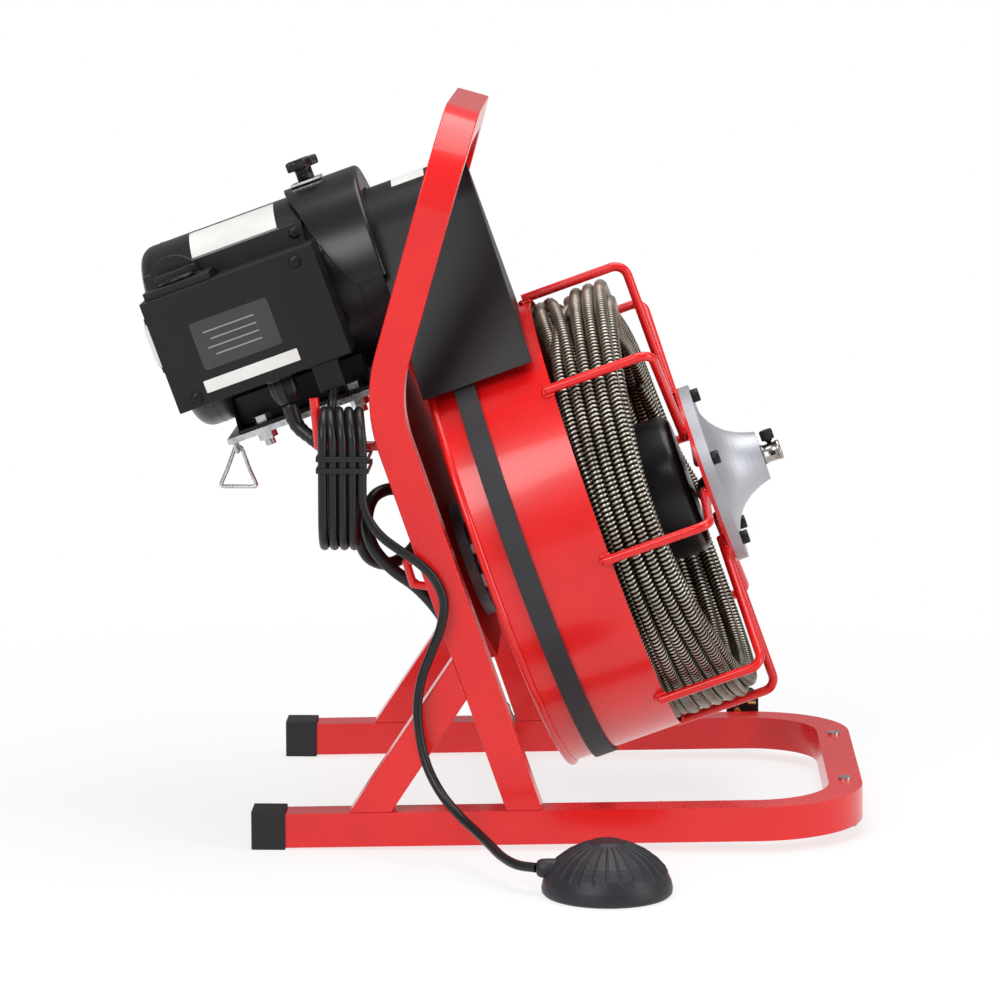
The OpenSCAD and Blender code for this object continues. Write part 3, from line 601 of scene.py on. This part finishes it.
def strain_relief(path):
    """A boot that tapers along the start of the lead, with shallow ribs."""
    sides = 32
    points = []
    for i, p in enumerate(path):
        ahead = (path[min(i + 1, len(path) - 1)] - path[max(i - 1, 0)]).normalized()
        side = ahead.cross(ACROSS).normalized()
        lift = side.cross(ahead)
        share = i / (len(path) - 1)
        r = 6.6 - 1.7 * share - (0.45 if i % 2 else 0)
        points += ring_round(p, side, lift, r, sides)
    return piece("cord_relief", points, skin(len(path), sides), "plastic", "frame")


def power_lead():
    route = [machine(*p) for p in CORD_ROUTE]
    coil = [machine(*p) for p in coil_points()]
    tail = [machine(*p) for p in CORD_TAIL]
    points = smooth_path([*route, *coil, *tail])
    item = lead("power_lead", points, CORD_D * MM, "frame")
    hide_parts("power_cord", "power_coil")
    boot = strain_relief(points[:BOOT_STEPS])
    body = plug()


HOSE_D = 7
HOSE_INLET = [(-121, -100, 334), (-122, -101, 322), (-123, -108, 312), (-123.5, -122, 307),
    (-123.5, -137, 309)]
HOSE_TAIL = [
    (-95, -183.5, 270), (-94, -184, 258), (-89, -185, 246), (-80, -185, 235), (-68, -185, 226),
    (-55, -184, 217), (-43, -183, 205), (-36, -183, 188), (-38, -183, 169), (-45, -183, 150),
    (-52, -184, 131), (-55, -186, 110), (-53, -190, 88), (-47, -197, 67), (-36, -207, 49),
    (-22, -221, 36), (-10, -238, 29), (0, -256, 24), (9, -274, 20), (20, -290, 18), (34, -299, 18)]
HANK_X = -123.5
HANK_PITCH = 7.2
HANK_TURNS = 4
HANK_Y = -162
HANK_R = 21.5
HANK_ENDS = (247, 303)


def hank_points():
    """Turns that hang side by side, each shifted a diameter along as it goes over the hook."""
    low, high = HANK_ENDS
    out = []
    for turn in range(HANK_TURNS + 1):
        x0 = HANK_X + HANK_PITCH * (turn - 1)
        first = 60 if turn == 0 else 0
        for a in range(first, 181, 20):
            blend = 1 if turn == 0 else a / 180
            x = HANK_X if turn == 0 else x0 + HANK_PITCH * blend
            out.append((x, HANK_Y + HANK_R * math.cos(math.radians(a)),
                high + HANK_R * math.sin(math.radians(a))))
        if turn == HANK_TURNS:
            out.append((x, HANK_Y - HANK_R, 288))
            break
        out.append((x, HANK_Y - HANK_R, (low + high) / 2))
        for a in range(180, 361, 20):
            out.append((x, HANK_Y + HANK_R * math.cos(math.radians(a)),
                low + HANK_R * math.sin(math.radians(a))))
        out.append((x, HANK_Y + HANK_R, (low + high) / 2))
    return out


def air_lead():
    path = [machine(*p) for p in [*HOSE_INLET, *hank_points(), *HOSE_TAIL]]
    points = smooth_path(path)
    item = lead("air_lead", points, HOSE_D * MM, "frame")
    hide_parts("air_hose", "hose_hank")


# ---- Drain cable ----

CABLE_D = 9.5
PITCH = 3.5
RINGS = 3
STATIONS = 72
WALL_R = 164.6
# Where the turns in front of the shell lie at the top, near side, bottom and far side: lowest and
# highest s of the outermost layer, and of the layers under it
OUTER_REACH = {0: (25, 60), 90: (5, 33), 180: (5, 64), 270: (28, 58)}
INNER_REACH = {0: (4, 64), 90: (3, 33), 180: (4, 64), 270: (6, 58)}
LAYER = 4
FRONT_TURNS = 18
BACK_TURNS = 9
# Rounds of settling in all, the first of them that press outwards, and the first that soften bends
ROUNDS = 300
PRESSED = 230
SOFTENED = 270


def reach_at(reach, angle, which):
    """The lowest or highest s at an angle, blended between the four sides."""
    quarter = int(angle // 90) % 4
    t = (angle % 90) / 90
    t = t * t * (3 - 2 * t)
    a = reach[quarter * 90][which]
    b = reach[(quarter * 90 + 90) % 360][which]
    return a + (b - a) * t


def front_limits(turn):
    """The lowest and highest s of a turn at every station."""
    reach = OUTER_REACH if turn < LAYER else INNER_REACH
    angles = [360 * j / STATIONS for j in range(STATIONS)]
    return [np.array([reach_at(reach, a, which) for a in angles]) for which in (0, 1)]


def soften(chain):
    """Moves every inner point halfway to the middle of its two neighbours."""
    chain[1:-1] = 0.5 * chain[1:-1] + 0.25 * (chain[:-2] + chain[2:])


def settle(places, low, high):
    """Pushes turns that touch apart at every station, and outwards against the rods."""
    count = len(places)
    gap = CABLE_D + 0.2
    for step in range(ROUNDS):
        for i in range(count):
            for k in range(i + 1, count):
                apart = places[k] - places[i]
                far = np.maximum(np.linalg.norm(apart, axis=1), 0.01)
                push = np.clip(gap - far, 0, None)[:, None] * apart / far[:, None] * 0.5
                places[i] -= push
                places[k] += push
        places[:, :, 1] += 0.3 * (step < PRESSED)
        places[:, :, 0] = np.clip(places[:, :, 0], low, high)
        places[:, :, 1] = np.minimum(places[:, :, 1], WALL_R)
        if step < SOFTENED:
            soften(places.reshape(-1, 2))
    return places


def front_turns():
    """The turns in front of the shell, as s and r at each station."""
    rng = random.Random(7)
    limits = [front_limits(i) for i in range(FRONT_TURNS)]
    low = np.array([a for a, b in limits])
    high = np.array([b for a, b in limits])
    places = np.zeros((FRONT_TURNS, STATIONS, 2))
    for i in range(FRONT_TURNS):
        share = (i % LAYER + 0.5) / LAYER + rng.uniform(-0.1, 0.1)
        places[i, :, 0] = low[i] + (high[i] - low[i]) * share
        places[i, :, 1] = WALL_R - 1 - 8.2 * (i // LAYER) + rng.uniform(-0.8, 0.8)
    return settle(places, low, high)


def back_turns():
    """The turns inside the shell, wound evenly towards its front."""
    first, lay = -84, 9.7
    places = np.zeros((BACK_TURNS, STATIONS, 2))
    for i in range(BACK_TURNS):
        places[i, :, 0] = np.linspace(first + lay * i, first + lay * (i + 1), STATIONS)
        places[i, :, 1] = 164
    return places


def cable_path(chain, first, last):
    """Points along the winding's stations from first to last."""
    fine = np.linspace(first, last, (last - first) * 8)
    stations = np.arange(len(chain))
    s = np.interp(fine, stations, chain[:, 0])
    r = np.interp(fine, stations, chain[:, 1])
    a = fine / STATIONS * TAU
    return np.stack([s, -r * np.sin(a), r * np.cos(a)], axis=1)


def lead_out():
    """The cable's free end: in from the coil, across to the middle and out through the nose."""
    knots = [(-60, 139, 52), (-75, 141, 56), (-88, 138, 61), (-99, 129, 66), (-106, 115, 71),
        (-109.5, 98, 74), (-110, 78, 74), (-110, 58, 74.2), (-110, 40, 75), (-110, 24.7, 77.1),
        (-110, 11.7, 85.7), (-110, 3, 99), (-110, 0, 114), (-110, 0, 126.6)]
    out = []
    for angle, r, s in knots:
        a = math.radians(angle)
        out.append(Vector((s, -r * math.sin(a), r * math.cos(a))))
    return np.array([tuple(p) for p in smooth_path(out, 8)])


def coiled_wire(name, path, sides=10):
    """A spring cable along a path in the drum's frame, its rings a crest, a flank and a groove in turn."""
    step = np.linalg.norm(np.diff(path, axis=0), axis=1)
    run = np.concatenate([[0], np.cumsum(step)])
    rings = int(run[-1] / PITCH - 1) * RINGS
    ahead = np.gradient(path, run, axis=0)
    ahead /= np.linalg.norm(ahead, axis=1)[:, None]
    side = np.cross(ahead, path * [0, 1, 1] + [0.01, 0, 0.01])
    side /= np.linalg.norm(side, axis=1)[:, None]
    lift = np.cross(side, ahead)
    k = np.arange(rings)[:, None]
    j = np.arange(sides)[None, :]
    where = ((k / RINGS + j / sides) * PITCH).ravel()
    in_groove = np.array([0, 0.45, 1])[k % RINGS] + 0.0 * j
    radius = CABLE_D / 2 - 1.25 * in_groove
    radius[0] = radius[-1] = 0.3
    angle = (TAU * j / sides + 0 * k).ravel()
    pick = lambda field: np.stack([np.interp(where, run, field[:, c]) for c in range(3)], axis=1)
    reach = np.cos(angle)[:, None] * pick(lift) + np.sin(angle)[:, None] * pick(side)
    local = (pick(path) + radius.ravel()[:, None] * reach) * MM
    world = np.array(DRUM) + local @ np.array([ALONG, ACROSS, UP])
    faces = []
    for i in range(rings - RINGS - 1):
        for m in range(sides):
            a = i * sides + m
            b = a + 1 if m < sides - 1 else (i + RINGS) * sides
            faces.append((a, b, b + sides, a + sides))
    item = piece(name, world, faces, "wire", "drum")
    # How far each ring lies in the groove; the wire material darkens it there as painted shade
    groove = item.data.attributes.new("groove", "FLOAT", "POINT")
    groove.data.foreach_set("value", in_groove.astype(np.float32).ravel())
    return item


def drain_cable():
    """The whole winding as one chain, cut into three pieces at shared stations, and its free end."""
    chain = np.concatenate([back_turns(), front_turns()]).reshape(-1, 2)
    for _ in range(40):
        soften(chain)
    cuts = [0, BACK_TURNS * STATIONS, (BACK_TURNS + FRONT_TURNS // 2) * STATIONS, len(chain) - 1]
    names = ["drain_cable_back", "drain_cable_outer", "drain_cable_inner"]
    for name, first, last in zip(names, cuts, cuts[1:]):
        wound = coiled_wire(name, cable_path(chain, first, last))
    coiled_wire("drain_cable_end", lead_out())
    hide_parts("cable_coil", "cable_lead")


# ---- Drum and nose ----


RODS = 8
FIRST_ROD = 3
HUB_SCREWS = 5


def weld_beads():
    """Beads of weld where the rods meet the shell and the hub plate."""
    rng = random.Random(3)
    out = Build()
    for i in range(RODS):
        a = math.radians(FIRST_ROD + 360 / RODS * i)
        radial = UP * math.cos(a) - ACROSS * math.sin(a)
        flank = ALONG.cross(radial)
        foot = at(-3, -173.6 * math.sin(a), 173.6 * math.cos(a))
        heel = at(78.4, -66 * math.sin(a), 66 * math.cos(a))
        for side in (-1, 1):
            for k in range(4):
                spot = foot + (flank * side * 3.4 - ALONG * (k * 1.7 - 2.6)) * MM
                blob(out, spot, radial, 1.7 + rng.uniform(-0.3, 0.3))
            for k in range(3):
                spot = heel + (flank * side * 3.3 - radial * (k * 2.6 - 3)) * MM
                blob(out, spot, ALONG, 1.6 + rng.uniform(-0.3, 0.3))
        blob(out, foot - ALONG * 3.4 * MM, radial, 2.6)
    out.object("weld_beads", "red", "drum", "red_paint")


def blob(build, centre, up, r):
    """A low round bead."""
    side = up.orthogonal().normalized()
    outline = [(0.1 * r, -0.9 * r), (0.8 * r, -0.6 * r), (r, 0), (0.8 * r, 0.6 * r), (0.1 * r, 0.9 * r)]
    build.turn(outline, place(centre, side, up.cross(side), up), 10)


def socket_screws():
    """Black socket-head screws round the hub, with ribbed heads and round sockets."""
    out = Build()
    outline = [(3, -3), (3, 0), (4.8, 0.01), (5.05, 0.4), (5.05, 5.6), (4.7, 6.1), (2.7, 6.15),
        (2.5, 2.6), (0.1, 2.5)]
    knurl = lambda angle, r: 0.12 * math.cos(32 * angle) if r > 5 else 0
    for i in range(HUB_SCREWS):
        a = math.radians(90 - 360 / HUB_SCREWS * i) - math.pi / 2
        spot = at(91, 61 * math.sin(a), 61 * math.cos(a))
        out.turn(outline, place(spot, *ALONG_S), 96, knurl)
    item = out.object("hub_socket_screws", "oxide", "drum", "black_steel")
    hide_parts("hub_bolts")


def chuck():
    """Short coupling: a turned barrel with a rim at each end, a hollow bore, and a dark plate each side that
    paints the shade inside a window.
    """
    out = Build()
    barrel = [(7.7, 0), (7.7, 2.2), (7.1, 2.4), (7.1, 11.6), (7.6, 12.4), (7.7, 13.8), (7.1, 15), (5.1, 15),
        (5, 14.4), (5, 0.3)]
    out.turn([(5, 0), *barrel], place(at(127, 0, 0), *ALONG_S), 48)
    item = out.object("nose_chuck", "steel", "drum", "steel")
    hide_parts("chuck")
    # Thin dark plates of painted shade, one for the window on each side
    window = Build()
    for side in (-1, 1):
        spot = at(135.3, side * 6.6, 0)
        window.prism(rounded_outline(1.9, 1.7, 0.4), 0, 0.62, place(spot, ALONG, UP * -side, ACROSS * side))
    window.object("chuck_window_shade", "oxide", "drum", "black_steel")


def thumb_screw():
    """Black knurled thumb screw through the top of the coupling."""
    out = Build()
    outline = [(1.9, 5.6), (1.9, 8.6), (2.8, 8.8), (3, 9.8), (4.8, 10), (5.1, 10.5), (5.1, 17), (4.7, 17.6)]
    knurl = lambda angle, r: 0.22 * math.cos(20 * angle) - 0.22 if r > 4.7 else 0
    out.turn([*outline, (0.1, 17.5)], place(at(135, 0, 0), *ALONG_V), 80, knurl)
    item = out.object("nose_thumb_screw", "oxide", "chuck_screw", "black_steel")
    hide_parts("chuck_screw")


# ---- Motor, guard and box details ----


LID_Y = -125
HEAD_R = 4.5
HEAD_H = 2.2


def pan_head(build, matrix):
    """A low domed screw head, its top along z."""
    build.turn([(HEAD_R, 0), (HEAD_R, 0.5 * HEAD_H), (0.85 * HEAD_R, 0.86 * HEAD_H), (0.55 * HEAD_R, HEAD_H),
        (0.1, HEAD_H)], matrix, 32)


def cross_mark(build, matrix):
    """A dark cross of painted shade that stands for the recess in a pan head."""
    for turn in (0, 90):
        arm = Matrix.Rotation(math.radians(turn + 20), 4, "Z")
        build.box((-2.3, -0.5, HEAD_H - 0.4), (2.3, 0.5, HEAD_H + 0.1), matrix @ arm)


def cover_screws():
    """Four screws on the motor's rear cover, two on the box lid and one above it."""
    heads, recess_shades = Build(), Build()
    spots = []
    for i in range(4):
        a = math.radians(90 * i)
        spots.append((at(-269, 46 * math.sin(a), MOTOR_V + 46 * math.cos(a)), (UP, ACROSS, -ALONG)))
    for s, v in ((-146, 269), (-249, 199)):
        spots.append((at(s, LID_Y, v), TO_NEAR))
    spots.append((at(-143.6, -77.5, 286.6), TO_NEAR))
    for spot, axes in spots:
        pan_head(heads, place(spot, *axes))
        cross_mark(recess_shades, place(spot, *axes))
    item = heads.object("cover_screw_heads", "oxide", "frame", "black_steel")
    # Dark crosses of painted shade where the recesses are
    recess_shades.object("cover_screw_recess_shades", "black", "frame", "black_steel", False)
    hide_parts("cover_screws")


def band_rear(angle):
    """Where the band's rear edge lies at an angle from its top."""
    knots = [(0, -148), (12, -146.8), (24, -144.4), (40, -138.6), (55, -134.6), (68, -128.4),
        (81, -121.5), (92, -115)]
    angles, edges = zip(*knots)
    return np.interp(abs(angle), angles, edges)


def guard_collar():
    """Sheet-metal band over the motor's front end, with a rounded front shoulder."""
    points = []
    steps, reach = 96, 92
    for i in range(steps + 1):
        angle = -reach + 2 * reach * i / steps
        rear = band_rear(angle)
        outline = [(rear, 78), (-92.6, 78), (-90.9, 77.6), (-89.6, 76.4), (-89.2, 74.4), (-89.4, 72),
            (-89.6, 59.6), (-91, 59.6), (-90.9, 75), (-92.2, 76.4), (rear, 76.5)]
        a = math.radians(angle)
        points += [at(s, -r * math.sin(a), MOTOR_V + r * math.cos(a)) for s, r in outline]
    item = piece("guard_collar", points, skin(steps + 1, len(outline)), "satin", "frame")
    round_edges(item, 0.0004, 2, 50)
    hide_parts("guard_band")


def gland():
    """Cable gland: a washer, a ribbed body and a domed clamping nut."""
    out = Build()
    matrix = place(at(-189, -100, 198), ALONG, -ACROSS, -UP)
    out.turn([(5, -0.5), (11.6, -0.4), (11.8, 0.6), (11.8, 1.4), (11, 1.6), (5, 1.6)], matrix, 48)
    ribs = lambda a, r: 0.7 * abs(math.cos(6 * a)) - 0.3 if r > 9.7 else 0
    out.turn([(5, 1.4), (9.8, 1.5), (10.4, 2.4), (10.4, 8.6), (9.8, 9.4), (5, 9.5)], matrix, 72, ribs)
    out.turn([(5, 9.3), (9.8, 9.4), (10.3, 10.2), (10.3, 18.4), (9.8, 21.4), (8.6, 24.8), (7.4, 27),
        (5, 27.6)], matrix, 72, ribs)
    item = out.object("cord_gland_nut", "plastic", "frame", "black_plastic")
    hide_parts("cord_gland")


def lobed_knob():
    """Five-lobed clamping knob on a stem."""
    out = Build()
    lobes = lambda a, r: 2 * math.cos(5 * a) + 0.4 * math.cos(10 * a) if r > 8 else 0
    outline = [(6.6, 80.2), (6.6, 87.5), (7, 89), (10.3, 89.2), (10.9, 90.2), (10.9, 95), (10.3, 96.3),
        (8.6, 96.6), (4.6, 96), (0.1, 95.9)]
    stem = place(at(-128.6, 0, MOTOR_V), *ALONG_V)
    out.turn(outline, stem, 90, lobes)
    out.turn([(3, 69.5), (3, 81)], stem, 24)
    item = out.object("clamp_knob", "satin", "guard_knob", "black_plastic")
    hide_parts("guard_knob")


def switch():
    """Turn switch: a round disc with a tapered lever across it."""
    out = Build()
    matrix = place(at(-235, -100, 278), *ALONG_V)
    out.turn([(3, -10), (3, 6.3), (14, 6.4), (14.2, 7), (14.2, 8.4), (12.6, 9.6), (0.1, 9.7)], matrix, 64)
    outline = [(-16, -2.6), (-14.6, -3.9), (8, -3.9), (15, -2.4), (16, -0.8), (16, 0.8), (15, 2.4), (8, 3.9),
        (-14.6, 3.9), (-16, 2.6)]
    out.prism(outline, 8.6, 14, matrix)
    item = out.object("switch_lever", "plastic", "switch", "black_plastic")
    round_edges(item, 0.0007, 3, 50)
    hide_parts("switch_knob")


def boot_cover():
    """White cover of the rear button between two black ends."""
    white, black = Build(), Build()
    face = place(at(-265, -100, 244.5), ACROSS, UP, -ALONG)
    rings = [(9.4, 17.6, 9.2, 0), (10.6, 18.8, 9.6, 0.6), (10.8, 19.2, 9.8, 2.4), (9.4, 17.8, 9, 4.6),
        (6.6, 14.8, 6.4, 5.8), (2, 9, 1.9, 6)]
    white.loft([(rounded_outline(x, y, r), z) for x, y, r, z in rings], face)
    for side in (-1, 1):
        black.prism([(x, y + side * 18.6) for x, y in rounded_outline(7, 2.6, 1.2)], 0, 3.4, face)
    item = white.object("button_boot", "white", "frame", "white_plastic")
    black.object("button_boot_ends", "plastic", "frame", "black_plastic", False)
    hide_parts("rear_boot")


def plate_on_lid(name, s, v, half_s, half_v, material, r=2.5, proud=0.25):
    """A thin blank label on the box's near face."""
    out = Build()
    out.prism(rounded_outline(half_s, half_v, r), 0, proud, place(at(s, LID_Y, v), *TO_NEAR))
    return out.object(name, material, "frame", "black_plastic", False)


def curved_label(name, s0, s1, r, a0, a1, material):
    """A thin blank label bent round the motor's axis. Angles run from the top towards the near side."""
    points, faces = [], []
    steps = 16
    for lift in (0.05, 0.3):
        for s in (s0, s1):
            for k in range(steps + 1):
                a = math.radians(a0 + (a1 - a0) * k / steps)
                points.append(at(s, -(r + lift) * math.sin(a), MOTOR_V + (r + lift) * math.cos(a)))
    row = steps + 1
    for k in range(steps):
        faces.append((k, k + 1, row + k + 1, row + k))
        faces.append((2 * row + k, 3 * row + k, 3 * row + k + 1, 2 * row + k + 1))
        faces.append((k, 2 * row + k, 2 * row + k + 1, k + 1))
        faces.append((row + k, row + k + 1, 3 * row + k + 1, 3 * row + k))
    faces.append((0, row, 3 * row, 2 * row))
    faces.append((steps, 2 * row + steps, 3 * row + steps, row + steps))
    piece(name, points, faces, material, "frame", False)


def labels():
    """Blank labels: a dark plate with four plain bars and a strip on the box, one on motor and hood each."""
    plate_on_lid("label_dark", -205.5, 234, 30.5, 18.2, "dark")
    plate_on_lid("label_strip", -203.6, 204.4, 36.8, 4.6, "pale", 0.6)
    for k in range(4):
        inset = 2 * (k % 2)
        plate_on_lid(f"label_line_{k}", -208 + inset, 243 - 6 * k, 20 - inset, 0.5, "grey", 0.3, 0.32)
    curved_label("label_motor", -226, -158, MOTOR_R, 8, 46, "pale")
    curved_label("label_hood", -68, -42, HOOD_R, -6, 22, "pale")


def motor_seams():
    """Two fine raised seams round the motor, one at the rear cover's joint."""
    out = Build()
    low, high = MOTOR_R + 0.05, MOTOR_R + 0.25
    outline = [(low, -0.5), (high, -0.3), (high, 0.3), (low, 0.5)]
    for s in (-250, -112):
        rim_ring(out, outline, place(at(s, 0, MOTOR_V), *ALONG_S))
    out.object("motor_seams", "satin", "frame", "black_paint")


def rim_ring(build, outline, matrix, sides=128):
    """A closed ring turned from a small outline of [radius, z]."""
    count = len(outline)
    points, faces = [], []
    for k in range(sides):
        a = TAU * k / sides
        points += [(r * math.cos(a), r * math.sin(a), z) for r, z in outline]
    for k in range(sides):
        m = (k + 1) % sides
        for i in range(count):
            n = (i + 1) % count
            faces.append((k * count + i, k * count + n, m * count + n, m * count + i))
    build.add(points, faces, matrix)


# ---- Pull ring and pedal ----


def wire_loop(name, knots, r, material, body):
    """Round wire along a closed chain of points in metres."""
    path = spline([knots[-1], *knots, knots[0], knots[1]])
    points, faces = [], []
    count, sides = len(path), 12
    for i, p in enumerate(path):
        ahead = (path[(i + 1) % count] - path[i - 1]).normalized()
        side = ACROSS - ahead * ahead.dot(ACROSS)
        side.normalize()
        lift = ahead.cross(side)
        points += ring_round(p, side, lift, r, sides)
    for i in range(count):
        n = (i + 1) % count
        for k in range(sides):
            m = (k + 1) % sides
            faces.append((i * sides + k, i * sides + m, n * sides + m, n * sides + k))
    return piece(name, points, faces, material, body)


def pull_ring():
    """Flared wire ring hanging from its bail."""
    centre = at(-242, -65, 146)
    shape = [(0, 3.3), (-2.6, 1.8), (-3.8, -1.4), (-8.4, -14), (-12.9, -24.5), (-12.6, -26.6), (-10.6, -27.2),
        (0, -27.2), (10.6, -27.2), (12.6, -26.6), (12.9, -24.5), (8.4, -14), (3.8, -1.4), (2.6, 1.8)]
    knots = [centre + Vector((x, 0, z)) * MM for x, z in shape]
    item = wire_loop("wire_pull_ring", knots, 1.5, "zinc", "ring")
    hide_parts("pull_ring")


PEDAL = machine(84, -300, 0)
RIM_H = 24
RIM_T = 0.48
RIDGES = 28


def pedal_profile(t):
    """Radius and height of the pedal's skin, from its foot to the middle of its top."""
    knots = [(0, 44.6, 0.3), (0.05, 46.2, 2), (0.1, 46.5, 5), (0.2, 45.4, 10), (0.34, 41.8, 17.6),
        (RIM_T, 36, RIM_H), (0.62, 29, 29.4), (0.76, 20.5, 33.8), (0.88, 12.6, 37), (0.93, 11, 38.4),
        (1, 0.1, 38.8)]
    shares, radii, heights = zip(*knots)
    return np.interp(t, shares, radii), np.interp(t, shares, heights)


def pedal_skin(name, t0, t1, rows, body, node):
    """A closed part of the pedal between two stations of its profile, with ridges down the dome."""
    sides = 14 * RIDGES
    out = Build()
    points = []
    for i in range(rows + 1):
        t = t0 + (t1 - t0) * i / rows
        r, z = pedal_profile(t)
        fade = min(1, max(0, (t - 0.28) / 0.06), max(0, (0.88 - t) / 0.04))
        for k in range(sides):
            a = TAU * k / sides
            ridge = 0.6 * max(0, math.cos(RIDGES * a) - 0.8) / 0.2 * fade
            points.append(((r + ridge) * math.cos(a), (r + ridge) * math.sin(a), z + ridge))
    out.add(points, skin(rows + 1, sides), Matrix.Translation(PEDAL))
    if body == "frame":
        boss = place(PEDAL + Vector((-50, 0, 18)) * MM, SKY, -ACROSS, EAST)
        out.turn([(3.6, 0), (5.4, 0.8), (6.6, 3), (7, 7), (7, 14), (6.5, 16)], boss, 32)
    item = out.object(name, "pedal", body, "rubber")
    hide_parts(node)
    return item


def pedal():
    """A foot that stays still and the top that flattens on the real pedal, on its own body with a mesh of its
    own; both cut from one profile at the rim.
    """
    pedal_skin("pedal_foot", 0, RIM_T, 30, "frame", "pedal_base")
    dome = pedal_skin("pedal_top", RIM_T, 1, 34, "pedal_top", "pedal_dome")
    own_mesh(dome)


# ---- Nodes shown as they come ----

FINISH = {
    "red": ["base_tube", "upright_tube", "rear_braces", "cord_hooks", "drum_shell", "cage_rods",
        "hub_plate"],
    # The cross channel takes the red darkened with painted shade
    "shade_darkened": ["cross_channel"],
    "black": ["belt_guard", "control_box", "control_lid", "motor_cradle"],
    "satin": ["motor_housing", "motor_rear_cover", "motor_front_cover", "inner_drum"],
    "rubber": ["rear_caps", "front_feet"],
    "zinc": ["foot_screws", "hex_bolts", "motor_plate", "band_plate", "ring_bail", "spindle_nut"],
    "steel": ["drum_bearings", "motor_bearings", "spindle", "motor_shaft"],
    "iron": ["bearing_housing", "rotor", "drive_pulley"],
    "winding": ["stator"],
    "aluminium": ["hub_cone", "capacitor"],
    "plastic": ["box_saddle", "switch_base", "hose_connector", "hank_ties"],
    "white": ["air_switch"],
    "belt": ["drive_belt"],
    "brass": ["plug_blades"],
}
ROUNDED = {
    "base_tube": 2.6, "upright_tube": 2.6, "rear_braces": 2.6, "rear_caps": 1.5, "front_feet": 1,
    "cross_channel": 1.2, "control_box": 0.9, "control_lid": 0.7, "belt_guard": 0.7, "motor_plate": 0.5,
    "motor_cradle": 0.5, "band_plate": 0.4, "box_saddle": 1, "switch_base": 0.9,
    "hose_connector": 0.8, "drive_belt": 0.5, "hex_bolts": 0.5, "spindle_nut": 0.8, "plug_blades": 0.3,
    "hank_ties": 0.5,
}


def dress_nodes():
    """Gives the visible nodes their finish and rounds their edges, widths in millimetres."""
    for material, names in FINISH.items():
        for name in names:
            mesh = NODES[name].data
            mesh.materials.clear()
            mesh.materials.append(MAT[material])
    for name, width in ROUNDED.items():
        round_edges(NODES[name], width * MM)


# ---- The scene ----

bpy.context.scene.view_settings.view_transform = "Standard"
camera()
power_lead()
air_lead()
floor()
studio()
lights()
dress_nodes()
drain_cable()
weld_beads()
socket_screws()
chuck()
thumb_screw()
cover_screws()
guard_collar()
gland()
lobed_knob()
switch()
boot_cover()
labels()
motor_seams()
pull_ring()
pedal()
